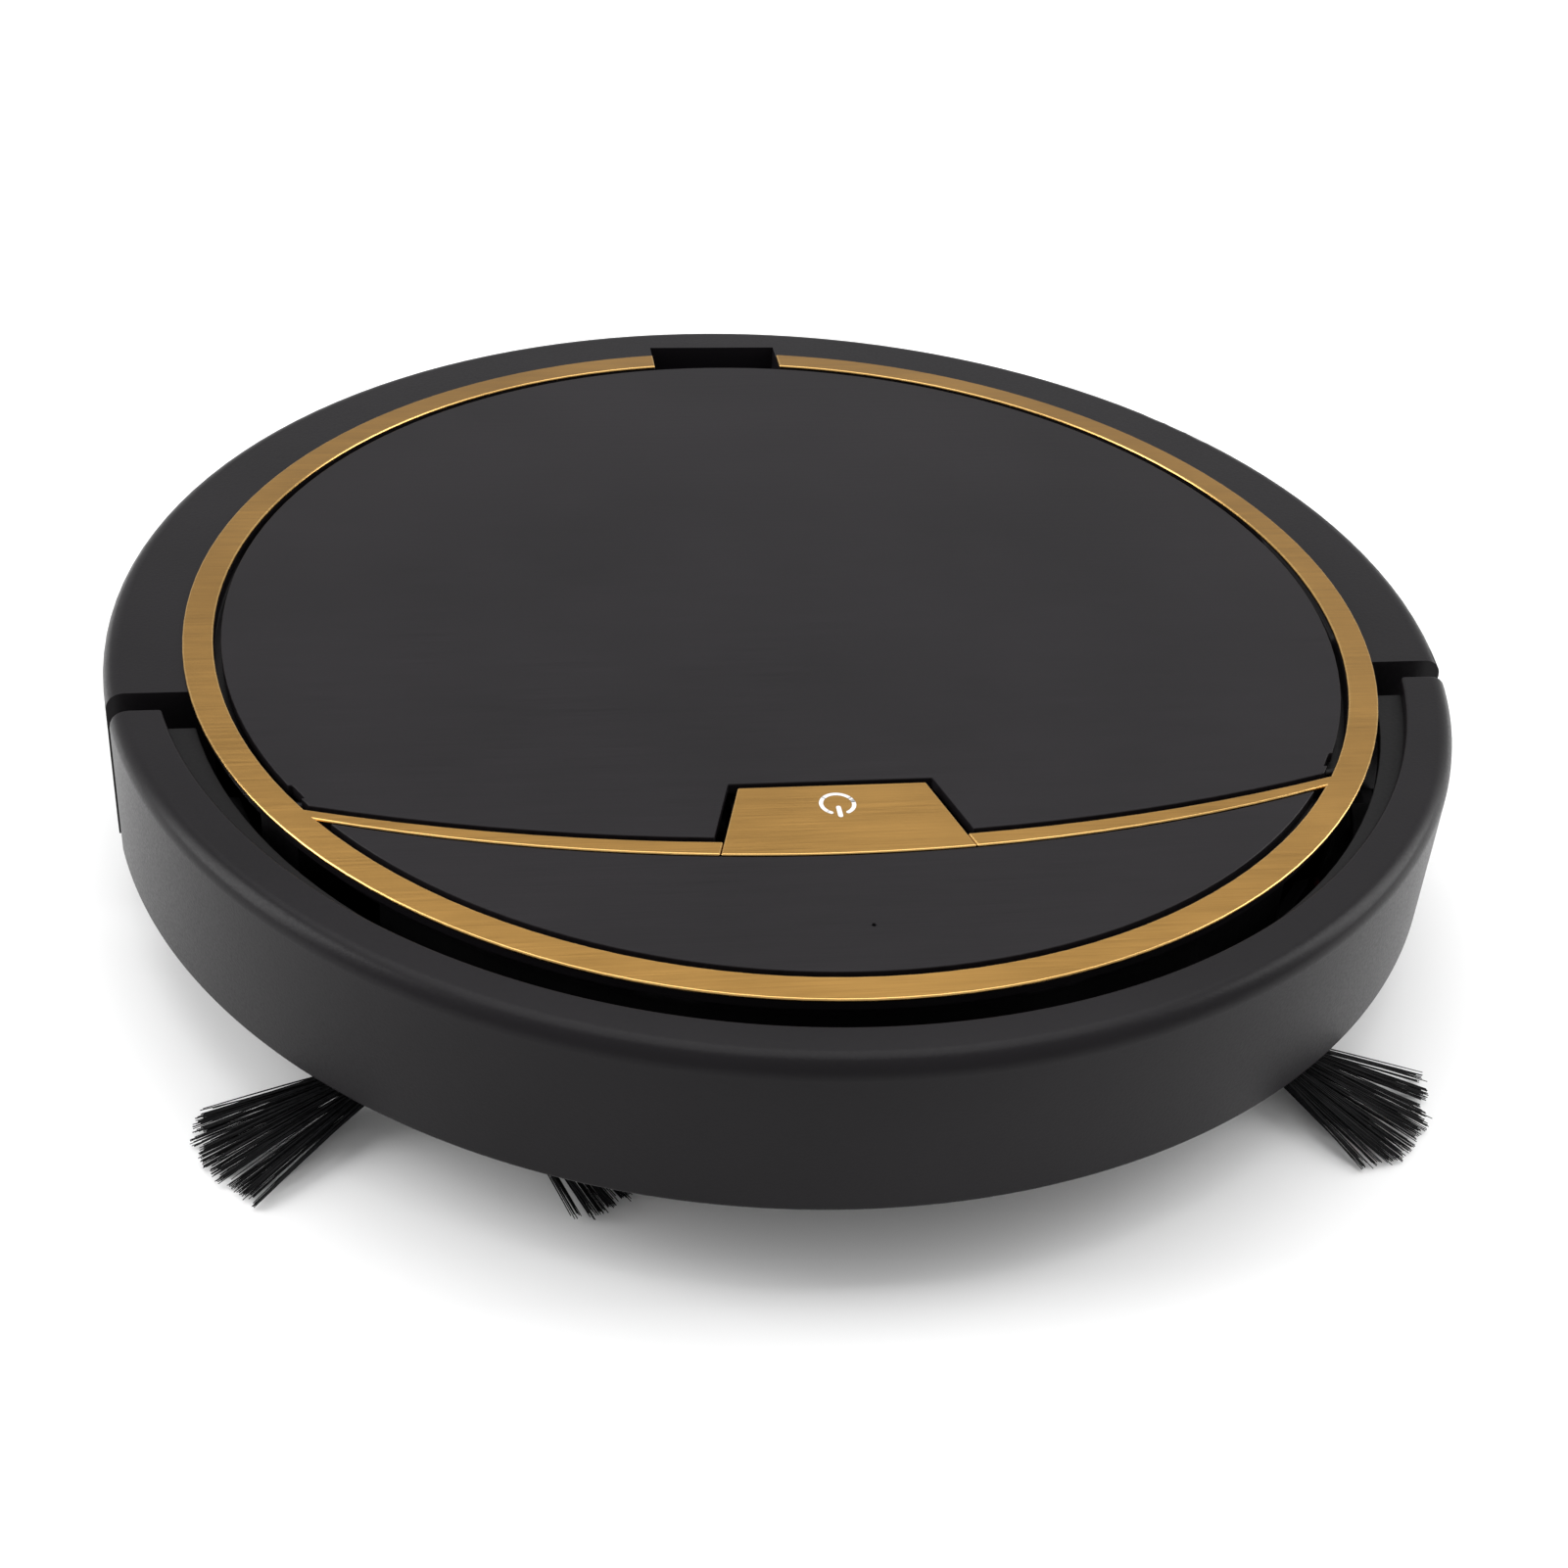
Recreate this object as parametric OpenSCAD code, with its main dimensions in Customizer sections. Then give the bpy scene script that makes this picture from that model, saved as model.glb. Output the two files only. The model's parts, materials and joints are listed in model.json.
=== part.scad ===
// Round robot vacuum cleaner: low black disc with a gold trim ring, a flip-up lid over the
// dust bin, a sprung front bumper, two suspended drive wheels, a swivel caster and two
// three-armed side brushes.
// +Z is up, the front (bumper) faces -Y, and the origin is on the floor under the ring centre.

/* [Body] */
// Outer diameter of the body
body_d = 280; // [276:2:340]
// Overall height from the floor to the top of the trim
body_h = 55; // [54:1:66]
// Gap between the floor and the flat underside
ground_gap = 10; // [9:0.5:12]
// Height of the side skirt's lower edge above the floor
skirt_z = 20.2; // [19:0.2:22]
// Wall thickness of the side shell
wall = 2.4; // [2:0.2:3]
// Rounding of the top outer edge
edge_r = 3.8; // [2.5:0.1:4.5]
// Thickness of the deck plates and the underside
plate = 2.2; // [2:0.1:2.6]

/* [Trim] */
// Width of the black rim outside the gold ring
rim_w = 15.8; // [15:0.2:20]
// Width of the gold ring
ring_w = 6.15; // [4:0.05:8]
// Thickness of the gold trim sheet
trim_t = 0.8; // [0.6:0.1:1]
// Width of the crossbar at its middle
bar_w = 4.0; // [3.5:0.1:5]
// Distance of the crossbar's front edge from the front of the body
bar_front = 57; // [56:0.5:60]
// Radius of the crossbar's front edge
bar_front_r = 303; // [290:1:320]
// Radius of the crossbar's rear edge
bar_rear_r = 332; // [325:1:350]

/* [Key] */
// Half width of the power key at its rear edge
key_rear = 18.4; // [16:0.2:20]
// Half width of the power key at its front corners
key_front = 23.1; // [21.5:0.1:24]
// Depth of the key behind the crossbar's rear edge
key_depth = 17.6; // [16:0.2:18]
// Travel of the power key
key_travel = 0.5; // [0.3:0.1:0.6]

/* [Lid] */
// Thickness of the lid
lid_t = 2.4; // [2:0.1:2.6]
// Groove between the lid and the trim
lid_gap = 1.5; // [1.2:0.1:1.8]
// Drop of the lid's surface below the top of the trim
lid_drop = 0.2; // [0:0.1:0.6]
// Distance of the lid's hinge line behind the crossbar's rear edge
hinge_back = 20; // [19.5:0.5:22]
// Diameter of the lid's hinge pins
pin_d = 2.4; // [2:0.1:2.6]
// Half width of the finger notch
notch_half = 15.6; // [13:0.2:18]
// Depth of the finger notch
notch_h = 7; // [6:0.5:8]

/* [Bumper] */
// Travel of the bumper towards the body
bumper_travel = 5; // [3:0.5:6]
// Slack left between the bumper and the housing at full travel
bumper_slack = 0.9; // [0.6:0.1:1.5]
// Distance of the housing's front ends in front of the middle of the body
split_front = 22.5; // [18:0.5:28]
// Width of the bumper's flat top
flange_w = 10; // [8:0.5:11]

/* [Wheels] */
// Radius of the drive wheels
wheel_r = 20; // [19:0.5:22]
// Width of the drive wheels
wheel_w = 15; // [12:0.5:16]
// Distance of the wheels' middle planes from the side of the body
wheel_inset = 44; // [43:1:50]
// Distance of the wheels' axle behind the middle of the body
wheel_y = 8; // [4:1:12]
// Radius of the caster wheel
caster_r = 8.5; // [8:0.5:9.5]
// Trail of the caster wheel behind its swivel
caster_trail = 5; // [4:0.5:6]

/* [Side brushes] */
// Distance of the brush hubs from the middle plane
brush_x = 75; // [72:1:80]
// Distance of the brush hubs in front of the middle of the body
brush_front = 78; // [76:1:82]
// Reach of the bristles from the hub's centre
brush_reach = 49; // [40:1:52]
// Half angle of a bristle fan
fan_half = 17; // [10:1:20]

/* [Dust bin] */
// Length of the dust bin from front to back
bin_l = 78; // [60:1:84]
// Wall thickness of the dust bin
bin_wall = 1.6; // [1.2:0.1:2]

/* [Fan] */
// Diameter of the fan's impeller
impeller_d = 27; // [22:0.5:28]
// Diameter of the fan's motor
fan_motor_d = 24.4; // [20:0.2:26]
// Length of the fan's motor
fan_motor_l = 30; // [24:1:32]

/* [Battery] */
// Diameter of one battery cell
cell_d = 18.4; // [17:0.1:18.6]
// Length of one battery cell
cell_l = 65; // [50:1:68]

/* [Hidden] */
$fn = 96;
far = 2 * body_d;
cut = 0.5;
fit = 0.3;
run = 0.06;

black = [0.15, 0.15, 0.16];
gold = [0.69, 0.54, 0.27];
steel = [0.72, 0.72, 0.74];
grey = [0.45, 0.46, 0.48];
green = [0.08, 0.32, 0.18];
smoke = [0.25, 0.26, 0.28, 0.6];

// Radii and levels of the body
body_r = body_d / 2;
ring_ro = body_r - rim_w;
ring_ri = ring_ro - ring_w;
deck_z = body_h - trim_t;
base_top = ground_gap + plate;
inner_r = body_r - wall;
deck_under = deck_z - plate;
deck_edge = ring_ro - 0.8;
lid_top = body_h - lid_drop;
lid_under = lid_top - lid_t;
tray_top = lid_under - plate;
tray_under = tray_top - plate;
panel_floor = deck_z - 2;
recess_wall = 2.2;

// The flat underside ends here and slopes up to the skirt
flat_r = body_r - 20;
rear_foot_r = inner_r - 0.4;
front_lip_r = inner_r - bumper_travel - 1.2;
nose_r = body_r - 21;
nose_wall = 2.4;
split_y = -split_front;
bumper_end = split_y - bumper_travel - bumper_slack;

// Crossbar
bar_front_y = -body_r + bar_front;
bar_front_c = bar_front_y + bar_front_r;
bar_rear_y = bar_front_y + bar_w;
bar_rear_c = bar_rear_y + bar_rear_r;
key_rear_y = bar_rear_y + key_depth;
key_slope = (key_front - key_rear) / (key_depth - 0.9);
bridge_half = key_rear + 0.8;

// Lid hinge
hinge_y = bar_rear_y + hinge_back;
hinge_z = lid_under - 0.6;
hinge_x = sqrt(pow(ring_ri - lid_gap, 2) - hinge_y * hinge_y);
well_back_y = hinge_y + 3.5;
well_floor = hinge_z - hinge_back + lid_gap + 0.4;

// Finger notch
notch_back = ring_ro + 4.7;
notch_floor = body_h - notch_h;

// Bumper
flange_r = body_r - flange_w;
flange_t = 2.6;
shelf_t = 2.6;
shelf_z = deck_z - flange_t;
shelf_back = 7.3;
shelf_r = flange_r - shelf_back;
frame_r = inner_r - 0.2;
low_flange_z = skirt_z + 1.4;
spring_x = 62;
spring_z = 34;
spring_seat_y = -sqrt(pow(nose_r, 2) - pow(spring_x - 5.5, 2)) - 0.3;
spring_l = 13;
stud_x = 85;
stud_r = body_r - 12.4;
stud_y = -sqrt(stud_r * stud_r - stud_x * stud_x);
stud_d = 4;

// Bump sensors: forked light barriers that blades on the bumper's frame enter
bump_x = 40;
bump_half = 6.2;
bump_face = -sqrt(pow(nose_r, 2) - pow(bump_x - bump_half, 2)) - 0.2;
bump_l = bumper_travel + 2.8;
blade_t = 1.6;

// Drive wheels: y and z in the gearbox's side view
gear_mod = 0.8;
pressure = 28;
teeth_small = 10;
teeth_idler = 22;
teeth_out = 20;
wheel_x = body_r - wheel_inset;
axle_p = [wheel_y, wheel_r];
idler_p = axle_p + 12.05 * [cos(15), sin(15)];
pinion_p = idler_p + 12.85 * [cos(12), sin(12)];
pivot_p = axle_p + [41, 5.5];
case_x = wheel_x - wheel_w / 2 - 14.5;
case_w = 13;
case_wall = 1.6;
motor_l = 23;
motor_d = 20;
pivot_d = 4;
tyre_t = 4;
lug_t = 3;
arm_spring_y = 18;
arm_spring_z = 36.2;

// Dust bin: it fills the space between the drive motors
bin_half = case_x - motor_l - 6;
bin_front = -22;
bin_back = bin_front + bin_l;
bin_floor = base_top + 1.2;
bin_rim = tray_under - 2;

// Suction mouth
mouth_half = min(bin_half - 4, 40);
mouth_front = -43;
mouth_back = -29;

// Fan behind the bin
fan_z = (base_top + tray_under) / 2 + 0.3;
scroll_r = impeller_d / 2 + 3.6;
fan_front = bin_back + 2.4;
fan_depth = 15;

// Battery in front of the mouth
pack_w = cell_l + 1;
pack_d = 2 * cell_d + 0.4;
pack_back = mouth_front - 2.5;
pack_mid = pack_back - pack_d / 2;
pack_z = base_top + 0.3;

// Caster in front of the battery
caster_y = -body_r + 39;
caster_puck = caster_trail + caster_r + 2;
socket_r = caster_puck + 1;
socket_wall = 1.6;
socket_z = 2 * caster_r + 4;
stem_d = 6;
stem_h = 10;

// Side brushes
brush_y = -brush_front;
hub_d = 20;
hub_z = 4.5;
hub_t = 4.8;
brush_stem_d = 7;
brush_motor_z = base_top + 0.4;
brush_motor_h = 18.5;
left_arm = 205;
right_arm = 319;

// Main board under the front panel
board_z = tray_under - 9;
board_t = 1.6;
switch_y = key_rear_y - 9;
switch_top = board_z + board_t + 5;

// Rear wall: exhaust grille, jack and switch, as turns about the middle
grille_half = 14;
grille_z = skirt_z + 6;
grille_h = 16;
jack_turn = 142;
switch_turn = 38;
jack_z = 32;
switch_tilt = 8;

// Screws of the casing
screw_turns = [20, 62, 118, 160];
screw_r = body_r - 27;
front_screw = [46, -body_r + 50];

// ---------------------------------------------------------------- shared shapes

// Two discs and the straight sides between them
module strap(p, rp, q, rq) {
    d = norm(q - p);
    a = acos((rp - rq) / d);
    t = atan2(q.y - p.y, q.x - p.x);
    s = 0.995;
    translate(p) circle(r = rp);
    translate(q) circle(r = rq);
    polygon([
        p + s * rp * [cos(t + a), sin(t + a)],
        q + s * rq * [cos(t + a), sin(t + a)],
        q + s * rq * [cos(t - a), sin(t - a)],
        p + s * rp * [cos(t - a), sin(t - a)]
    ]);
}

// A side view (y, z) given thickness along X from x
module along_x(x, w) {
    translate([x, 0, 0]) rotate([90, 0, 90]) linear_extrude(height = w) children();
}

// A side view (x, z) given thickness along Y from y
module along_y(y, w) {
    translate([0, y + w, 0]) rotate([90, 0, 0]) linear_extrude(height = w) children();
}

module rod_x(x, y, z, r, l) {
    translate([x, y, z]) rotate([0, 90, 0]) cylinder(r = r, h = l);
}

module rod_y(x, y, z, r, l) {
    translate([x, y, z]) rotate([-90, 0, 0]) cylinder(r = r, h = l);
}

module box(lo, hi) {
    translate(lo) cube(hi - lo);
}

module front_half(y) {
    box([-far, -far, -cut], [far, y, body_h + far]);
}

module rear_half(y) {
    box([-far, y, -cut], [far, far, body_h + far]);
}

module tube(ro, ri, z, h) {
    translate([0, 0, z]) difference() {
        cylinder(r = ro, h = h);
        translate([0, 0, -cut]) cylinder(r = ri, h = h + 2 * cut);
    }
}

// Placed on the side wall: local X points outwards
module on_wall(turn, z) {
    rotate([0, 0, turn]) translate([body_r, 0, z]) children();
}

// Angle an involute gains from the base circle to pressure angle a
function inv(a) = tan(a) * 180 / PI - a;

// Half the angle of a tooth at radius r
function tooth_half(teeth, r) =
    let (rp = gear_mod * teeth / 2, rb = rp * cos(pressure), q = max(r, rb))
    90 / teeth - 0.11 / rp * 180 / PI + inv(pressure) - inv(acos(rb / q));

module gear2d(teeth) {
    rp = gear_mod * teeth / 2;
    ra = rp + 0.85 * gear_mod;
    rd = rp - 1.15 * gear_mod;
    steps = 4;
    rb = max(rd, rp * cos(pressure));
    radii = [rd, for (i = [0 : steps]) rb + (ra - rb) * i / steps];
    polygon([
        for (k = [0 : teeth - 1])
            each [
                for (r = radii)
                    r * [cos(360 * k / teeth - tooth_half(teeth, r)),
                         sin(360 * k / teeth - tooth_half(teeth, r))],
                for (i = [len(radii) - 1 : -1 : 0])
                    let (r = radii[i])
                    r * [cos(360 * k / teeth + tooth_half(teeth, r)),
                         sin(360 * k / teeth + tooth_half(teeth, r))]
            ]
    ]);
}

// Round wire wound on a helix that starts at z = 0
module coil(r, wire, length, turns) {
    sides = 6;
    rings = 12 * turns;
    points = [
        for (i = [0 : rings])
            for (k = [0 : sides - 1])
                let (a = 360 * turns * i / rings, b = 360 * k / sides, q = r + wire / 2 * cos(b))
                [q * cos(a), q * sin(a), wire / 2 + (length - wire) * i / rings + wire / 2 * sin(b)]
    ];
    faces = [
        [for (k = [0 : sides - 1]) k],
        for (i = [0 : rings - 1])
            for (k = [0 : sides - 1])
                let (a = i * sides + k, b = i * sides + (k + 1) % sides)
                [a, a + sides, b + sides, b],
        [for (k = [sides - 1 : -1 : 0]) rings * sides + k]
    ];
    polyhedron(points = points, faces = faces, convexity = 10);
}

// ---------------------------------------------------------------- outlines seen from above

// Everything behind the crossbar's rear edge, moved back by gap
module behind_bar(gap) {
    translate([0, bar_rear_c]) circle(r = bar_rear_r - gap, $fn = 240);
}

// Everything behind the crossbar's front edge, moved forward by gap
module behind_bar_front(gap) {
    translate([0, bar_front_c]) circle(r = bar_front_r + gap, $fn = 240);
}

// The key's outline with its sides carried on to the front, grown by gap
module key_wedge(gap) {
    reach = key_depth + 12;
    w = key_rear + gap;
    polygon([
        [-w, key_rear_y + gap],
        [w, key_rear_y + gap],
        [w + key_slope * (reach + gap), key_rear_y - reach],
        [-w - key_slope * (reach + gap), key_rear_y - reach]
    ]);
}

module crossbar2d() {
    intersection() {
        circle(r = ring_ri + 1);
        difference() {
            behind_bar_front(0);
            behind_bar(0);
        }
    }
}

module key2d(gap) {
    intersection() {
        key_wedge(-gap);
        behind_bar_front(0);
    }
}

module lid2d() {
    difference() {
        intersection() {
            circle(r = ring_ri - lid_gap, $fn = 240);
            behind_bar(lid_gap);
        }
        key_wedge(lid_gap);
    }
}

module panel2d(gap) {
    difference() {
        circle(r = ring_ri - gap, $fn = 240);
        behind_bar_front(min(gap, fit));
    }
}

// ---------------------------------------------------------------- casing

// Side view of the rear shell: side wall, rounded edge and deck
module rear_shell2d() {
    difference() {
        union() {
            translate([ring_ri, skirt_z]) square([body_r - ring_ri, deck_z - edge_r - skirt_z]);
            translate([ring_ri, skirt_z]) square([body_r - edge_r - ring_ri, deck_z - skirt_z]);
            translate([body_r - edge_r, deck_z - edge_r]) circle(r = edge_r);
        }
        translate([ring_ri + recess_wall, skirt_z - cut])
            square([inner_r - ring_ri - recess_wall, deck_under - skirt_z + cut]);
        translate([ring_ri - cut, skirt_z - cut])
            square([recess_wall + 2 * cut, tray_under - skirt_z + cut]);
    }
}

module notch_space() {
    box([-notch_half, ring_ri - 10, notch_floor], [notch_half, notch_back, body_h + 1]);
}

// Wells that the lid's front wings dip into, one each side of the key's bridge
module wing_well(grow, lo, hi) {
    translate([0, 0, lo]) linear_extrude(height = hi - lo) difference() {
        intersection() {
            circle(r = ring_ri + grow);
            behind_bar(-grow);
            translate([-far, -far]) square([2 * far, far + well_back_y + grow]);
        }
        translate([-bridge_half + grow, -far]) square([2 * (bridge_half - grow), 2 * far]);
    }
}

module screw_boss(p) {
    top = p.y < 0 ? panel_floor - plate : tray_under;
    translate([p.x, p.y, base_top]) difference() {
        cylinder(d = 7.5, h = top - base_top + 0.1);
        translate([0, 0, -cut]) cylinder(d = 2.6, h = 20);
    }
}

function rear_screws() = [for (a = screw_turns) screw_r * [cos(a), sin(a)]];
function all_screws() = concat(rear_screws(), [[-front_screw.x, front_screw.y], front_screw]);

module top_shell() {
    color(black) difference() {
        union() {
            // Side wall and rim behind the split
            intersection() {
                rotate_extrude($fn = 240) rear_shell2d();
                rear_half(split_y);
            }
            // Closed ends of the side wall
            for (s = [-1, 1]) intersection() {
                tube(inner_r + 0.2, ring_ri + recess_wall - 0.2, skirt_z + 0.6, deck_z - skirt_z - 1.1);
                box([s > 0 ? 0 : -far, split_y, 0], [s > 0 ? far : 0, split_y + wall, body_h]);
            }
            // Rim in front of the split
            intersection() {
                tube(deck_edge, ring_ri, deck_under, plate);
                front_half(split_y + 1);
            }
            intersection() {
                tube(ring_ri + recess_wall, ring_ri, tray_under, deck_z - tray_under);
                front_half(split_y + 1);
            }
            // Tray under the lid, wells, panel seat and the bridge under the key
            translate([0, 0, tray_under]) linear_extrude(height = plate) intersection() {
                circle(r = ring_ri + 1);
                translate([-far, well_back_y]) square([2 * far, far]);
            }
            wing_well(recess_wall, well_floor - plate, deck_z - 1);
            translate([0, 0, panel_floor - plate]) linear_extrude(height = plate) intersection() {
                circle(r = ring_ri + 1);
                difference() {
                    translate([-far, -far]) square([2 * far, far]);
                    behind_bar(0.4);
                }
            }
            translate([0, 0, panel_floor - cut]) linear_extrude(height = deck_z - panel_floor + cut)
                intersection() {
                    crossbar2d();
                    behind_bar_front(-0.2);
                }
            box([-bridge_half, key_rear_y - key_depth - 1.2, tray_under],
                [bridge_half, key_rear_y - 0.8, lid_under - 0.8]);
            box([-bridge_half, key_rear_y - 1.5, tray_under], [bridge_half, well_back_y + 1, tray_top]);
            // Finger notch
            box([-notch_half - 2, ring_ri - 12, notch_floor - 2],
                [notch_half + 2, notch_back + 2, deck_z - 0.5]);
            for (p = all_screws()) screw_boss(p);
        }
        notch_space();
        wing_well(0, well_floor, body_h + 1);
        // Room for the lid above the tray
        translate([0, 0, tray_top]) linear_extrude(height = body_h) difference() {
            intersection() {
                circle(r = ring_ri);
                behind_bar(0);
            }
            intersection() {
                key_wedge(0.2);
                translate([-far, -far]) square([2 * far, far + key_rear_y - 0.8]);
            }
        }
        // Recess and guide hole of the power key
        translate([0, 0, lid_under - 0.8]) linear_extrude(height = 10) intersection() {
            key_wedge(0.4);
            behind_bar_front(0.3);
        }
        translate([0, switch_y, tray_under - cut]) cylinder(d = 6, h = 10);
        // Opening over the dust bin
        box([-bin_half - 1.4, bin_front - 1.4, tray_under - cut],
            [bin_half + 1.4, bin_back + 1.4, tray_top + cut]);
        // Hinge pins of the lid
        rod_x(-hinge_x - 4.4, hinge_y, hinge_z, pin_d / 2 + run, 2 * hinge_x + 8.8);
        // Exhaust, jack and switch
        rotate([0, 0, 90 - grille_half]) rotate_extrude(angle = 2 * grille_half)
            translate([inner_r - 1, grille_z]) square([wall + 2, grille_h]);
        on_wall(jack_turn, jack_z) rod_x(-8, 0, 0, 5.1, 12);
        on_wall(switch_turn, jack_z) box([-8, -9.6, -5.6], [4, 9.6, 5.6]);
    }
}

// Side view of the base: flat underside and sloping edge that ends at foot_r
module base2d(foot_r) {
    rise = skirt_z - ground_gap;
    polygon([
        [0, ground_gap], [flat_r, ground_gap], [foot_r, skirt_z], [foot_r, skirt_z + 0.4],
        [foot_r - wall, skirt_z + 0.4], [flat_r - 1, base_top], [0, base_top]
    ]);
}

// Openings for a wheel and for its swing arm
module wheel_bay() {
    room = 3;
    half = wheel_w / 2 + 1.5;
    box([wheel_x - half, axle_p.x - wheel_r - room, ground_gap - cut],
        [wheel_x + half, axle_p.x + wheel_r + room, base_top + cut]);
    box([case_x - 0.4, axle_p.x - 13, ground_gap - cut],
        [case_x + case_w + 0.6, pivot_p.x + 6, base_top + cut]);
}

module pivot_lug(x) {
    difference() {
        along_x(x, lug_t) union() {
            translate(pivot_p) circle(r = 4.5);
            translate([pivot_p.x - 4.5, base_top - 1]) square([9, pivot_p.y - base_top + 1]);
        }
        rod_x(x - 1, pivot_p.x, pivot_p.y, pivot_d / 2 + 0.01, lug_t + 2);
    }
}

module base_side() {
    pivot_lug(case_x - 0.6 - lug_t);
    pivot_lug(case_x + case_w + 0.8);
}

module base_plate() {
    color(black) difference() {
        union() {
            intersection() {
                rotate_extrude($fn = 240) base2d(rear_foot_r);
                rear_half(split_y);
            }
            intersection() {
                rotate_extrude($fn = 240) base2d(front_lip_r);
                front_half(split_y + 1);
            }
            // Locating rim inside the side wall
            intersection() {
                tube(rear_foot_r, rear_foot_r - 1.8, skirt_z, 4);
                rear_half(split_y + wall + 1);
            }
            // Nose wall behind the bumper, and its seats for the springs
            intersection() {
                tube(nose_r, nose_r - nose_wall, base_top - cut, well_floor - plate - fit - base_top + cut);
                front_half(split_y - 4);
            }
            intersection() {
                tube(nose_r, nose_r - nose_wall, base_top, tray_under - base_top - fit);
                front_half(bar_rear_y - recess_wall - 1);
            }
            for (s = [-1, 1]) rod_y(s * spring_x, spring_seat_y, spring_z, 5.5, 6);
            for (s = [-1, 1]) rod_y(s * spring_x, spring_seat_y - 3, spring_z, 2.4, 6);
            // Seats of the bump sensors
            for (s = [-1, 1]) box([s * bump_x - bump_half + 0.4, bump_face + 0.02, spring_z - 3.6],
                [s * bump_x + bump_half - 0.4, bump_face + 6, spring_z + 2]);
            // Studs that guide the bumper
            for (s = [-1, 1]) translate([s * stud_x, stud_y, base_top])
                cylinder(d = stud_d, h = skirt_z + 6 - base_top);
            // Caster socket
            translate([0, caster_y, base_top - 1])
                cylinder(r = socket_r + socket_wall, h = socket_z + socket_wall - base_top + 1);
            translate([0, caster_y, socket_z]) cylinder(d = stem_d + 6, h = stem_h + 2);
            // Sides of the battery box
            for (s = [-1, 1])
                box([s * (pack_w / 2 + 1.6) - 0.8, pack_mid - 12, base_top - 1],
                    [s * (pack_w / 2 + 1.6) + 0.8, pack_mid + 12, base_top + 12]);
            // Cradles of the fan
            for (y = [fan_front + fan_depth + 6, fan_front + fan_depth + fan_motor_l - 8])
                box([-11, y, base_top - 1], [11, y + 2.4, fan_z]);
            base_side();
            mirror([1, 0, 0]) base_side();
        }
        wheel_bay();
        mirror([1, 0, 0]) wheel_bay();
        // Suction mouth and battery hatch
        box([-mouth_half - 2, mouth_front - 2, ground_gap - cut],
            [mouth_half + 2, mouth_back + 2, base_top + cut]);
        box([-pack_w / 2 - 0.4, pack_mid - pack_d / 2 - 0.4, ground_gap - cut],
            [pack_w / 2 + 0.4, pack_mid + pack_d / 2 + 0.4, base_top + cut]);
        // Caster socket and bearing
        translate([0, caster_y, ground_gap - 1]) cylinder(r = socket_r, h = socket_z - ground_gap + 1);
        translate([0, caster_y, socket_z - 1]) cylinder(d = stem_d + 2 * run, h = stem_h + 1.5);
        // Stems of the side brushes
        for (s = [-1, 1]) translate([s * brush_x, brush_y, ground_gap - cut])
            cylinder(d = brush_stem_d + 1.6, h = 10);
        // Screws with their sunk heads
        for (p = all_screws()) {
            translate([p.x, p.y, ground_gap - cut]) cylinder(d = 3.4, h = 10);
            translate([p.x, p.y, ground_gap - cut]) cylinder(d = 6.4, h = cut + 1.2);
        }
        // Windows of the cliff sensors
        for (p = window_places()) translate([p.x, p.y, ground_gap - cut])
            box([-7.2, -3.2, 0], [7.2, 3.2, 5]);
        // Motor lies in its cradles
        rod_y(0, fan_front + fan_depth, fan_z, fan_motor_d / 2 + 0.1, fan_motor_l + 4);
    }
}

function window_places() = [
    for (s = [-1, 1]) [s * (body_r - 36), -44],
    for (s = [-1, 1]) [s * 36, -body_r + 28]
];

// ---------------------------------------------------------------- trim, lid and panels

module trim_frame() {
    color(gold) difference() {
        translate([0, 0, deck_z]) linear_extrude(height = trim_t) difference() {
            union() {
                difference() {
                    circle(r = ring_ro, $fn = 360);
                    circle(r = ring_ri, $fn = 360);
                }
                crossbar2d();
            }
            key_wedge(0);
            translate([-notch_half, 0]) square([2 * notch_half, far]);
        }
    }
}

module front_panel() {
    color(black) difference() {
        translate([0, 0, panel_floor]) linear_extrude(height = lid_top - panel_floor) panel2d(lid_gap);
        translate([0.7, -body_r + 36.2, panel_floor - cut]) cylinder(d = 0.8, h = 10);
    }
}

module lid() {
    boss_w = 8;
    color(black) difference() {
        union() {
            translate([0, 0, lid_under]) linear_extrude(height = lid_t) lid2d();
            // Stiffening rib and hinge bosses
            intersection() {
                tube(ring_ri - 5, ring_ri - 6.5, lid_under - 1.4, 1.8);
                rear_half(well_back_y + 4);
            }
            for (s = [-1, 1])
                box([s * (hinge_x - 5) - boss_w / 2, hinge_y - 2.3, hinge_z - 2.2],
                    [s * (hinge_x - 5) + boss_w / 2, hinge_y + 2.3, lid_under + cut]);
        }
        for (s = [-1, 1])
            rod_x(s > 0 ? hinge_x - 8 : -hinge_x - 1, hinge_y, hinge_z, pin_d / 2 + 0.01, 9);
        // The edge steps back beside the hinge, so that the opening lid clears the ring
        translate([0, 0, lid_under - cut]) linear_extrude(height = lid_t + 2 * cut) difference() {
            translate([-far, hinge_y - 1]) square([2 * far, 4.2]);
            circle(r = ring_ri - lid_gap - 0.7);
        }
        // Clear of the finger notch's rib
        box([-notch_half, ring_ri - 12, lid_under - 3], [notch_half, ring_ri, lid_under]);
    }
}

module lid_pins() {
    color(steel) for (s = [-1, 1])
        rod_x(s > 0 ? hinge_x - 7.9 : -hinge_x - 3.3, hinge_y, hinge_z, pin_d / 2, 11.2);
}

module power_key() {
    color(gold) translate([0, 0, deck_z]) linear_extrude(height = trim_t) key2d(0.12);
}

module key_carrier() {
    foot = switch_top + key_travel + 0.15;
    color(black) {
        translate([0, 0, deck_z - 0.7]) linear_extrude(height = 0.7) intersection() {
            key_wedge(-1.2);
            behind_bar_front(-1.8);
        }
        translate([0, switch_y, foot]) cylinder(d = 5, h = deck_z - 0.2 - foot);
    }
}

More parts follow.
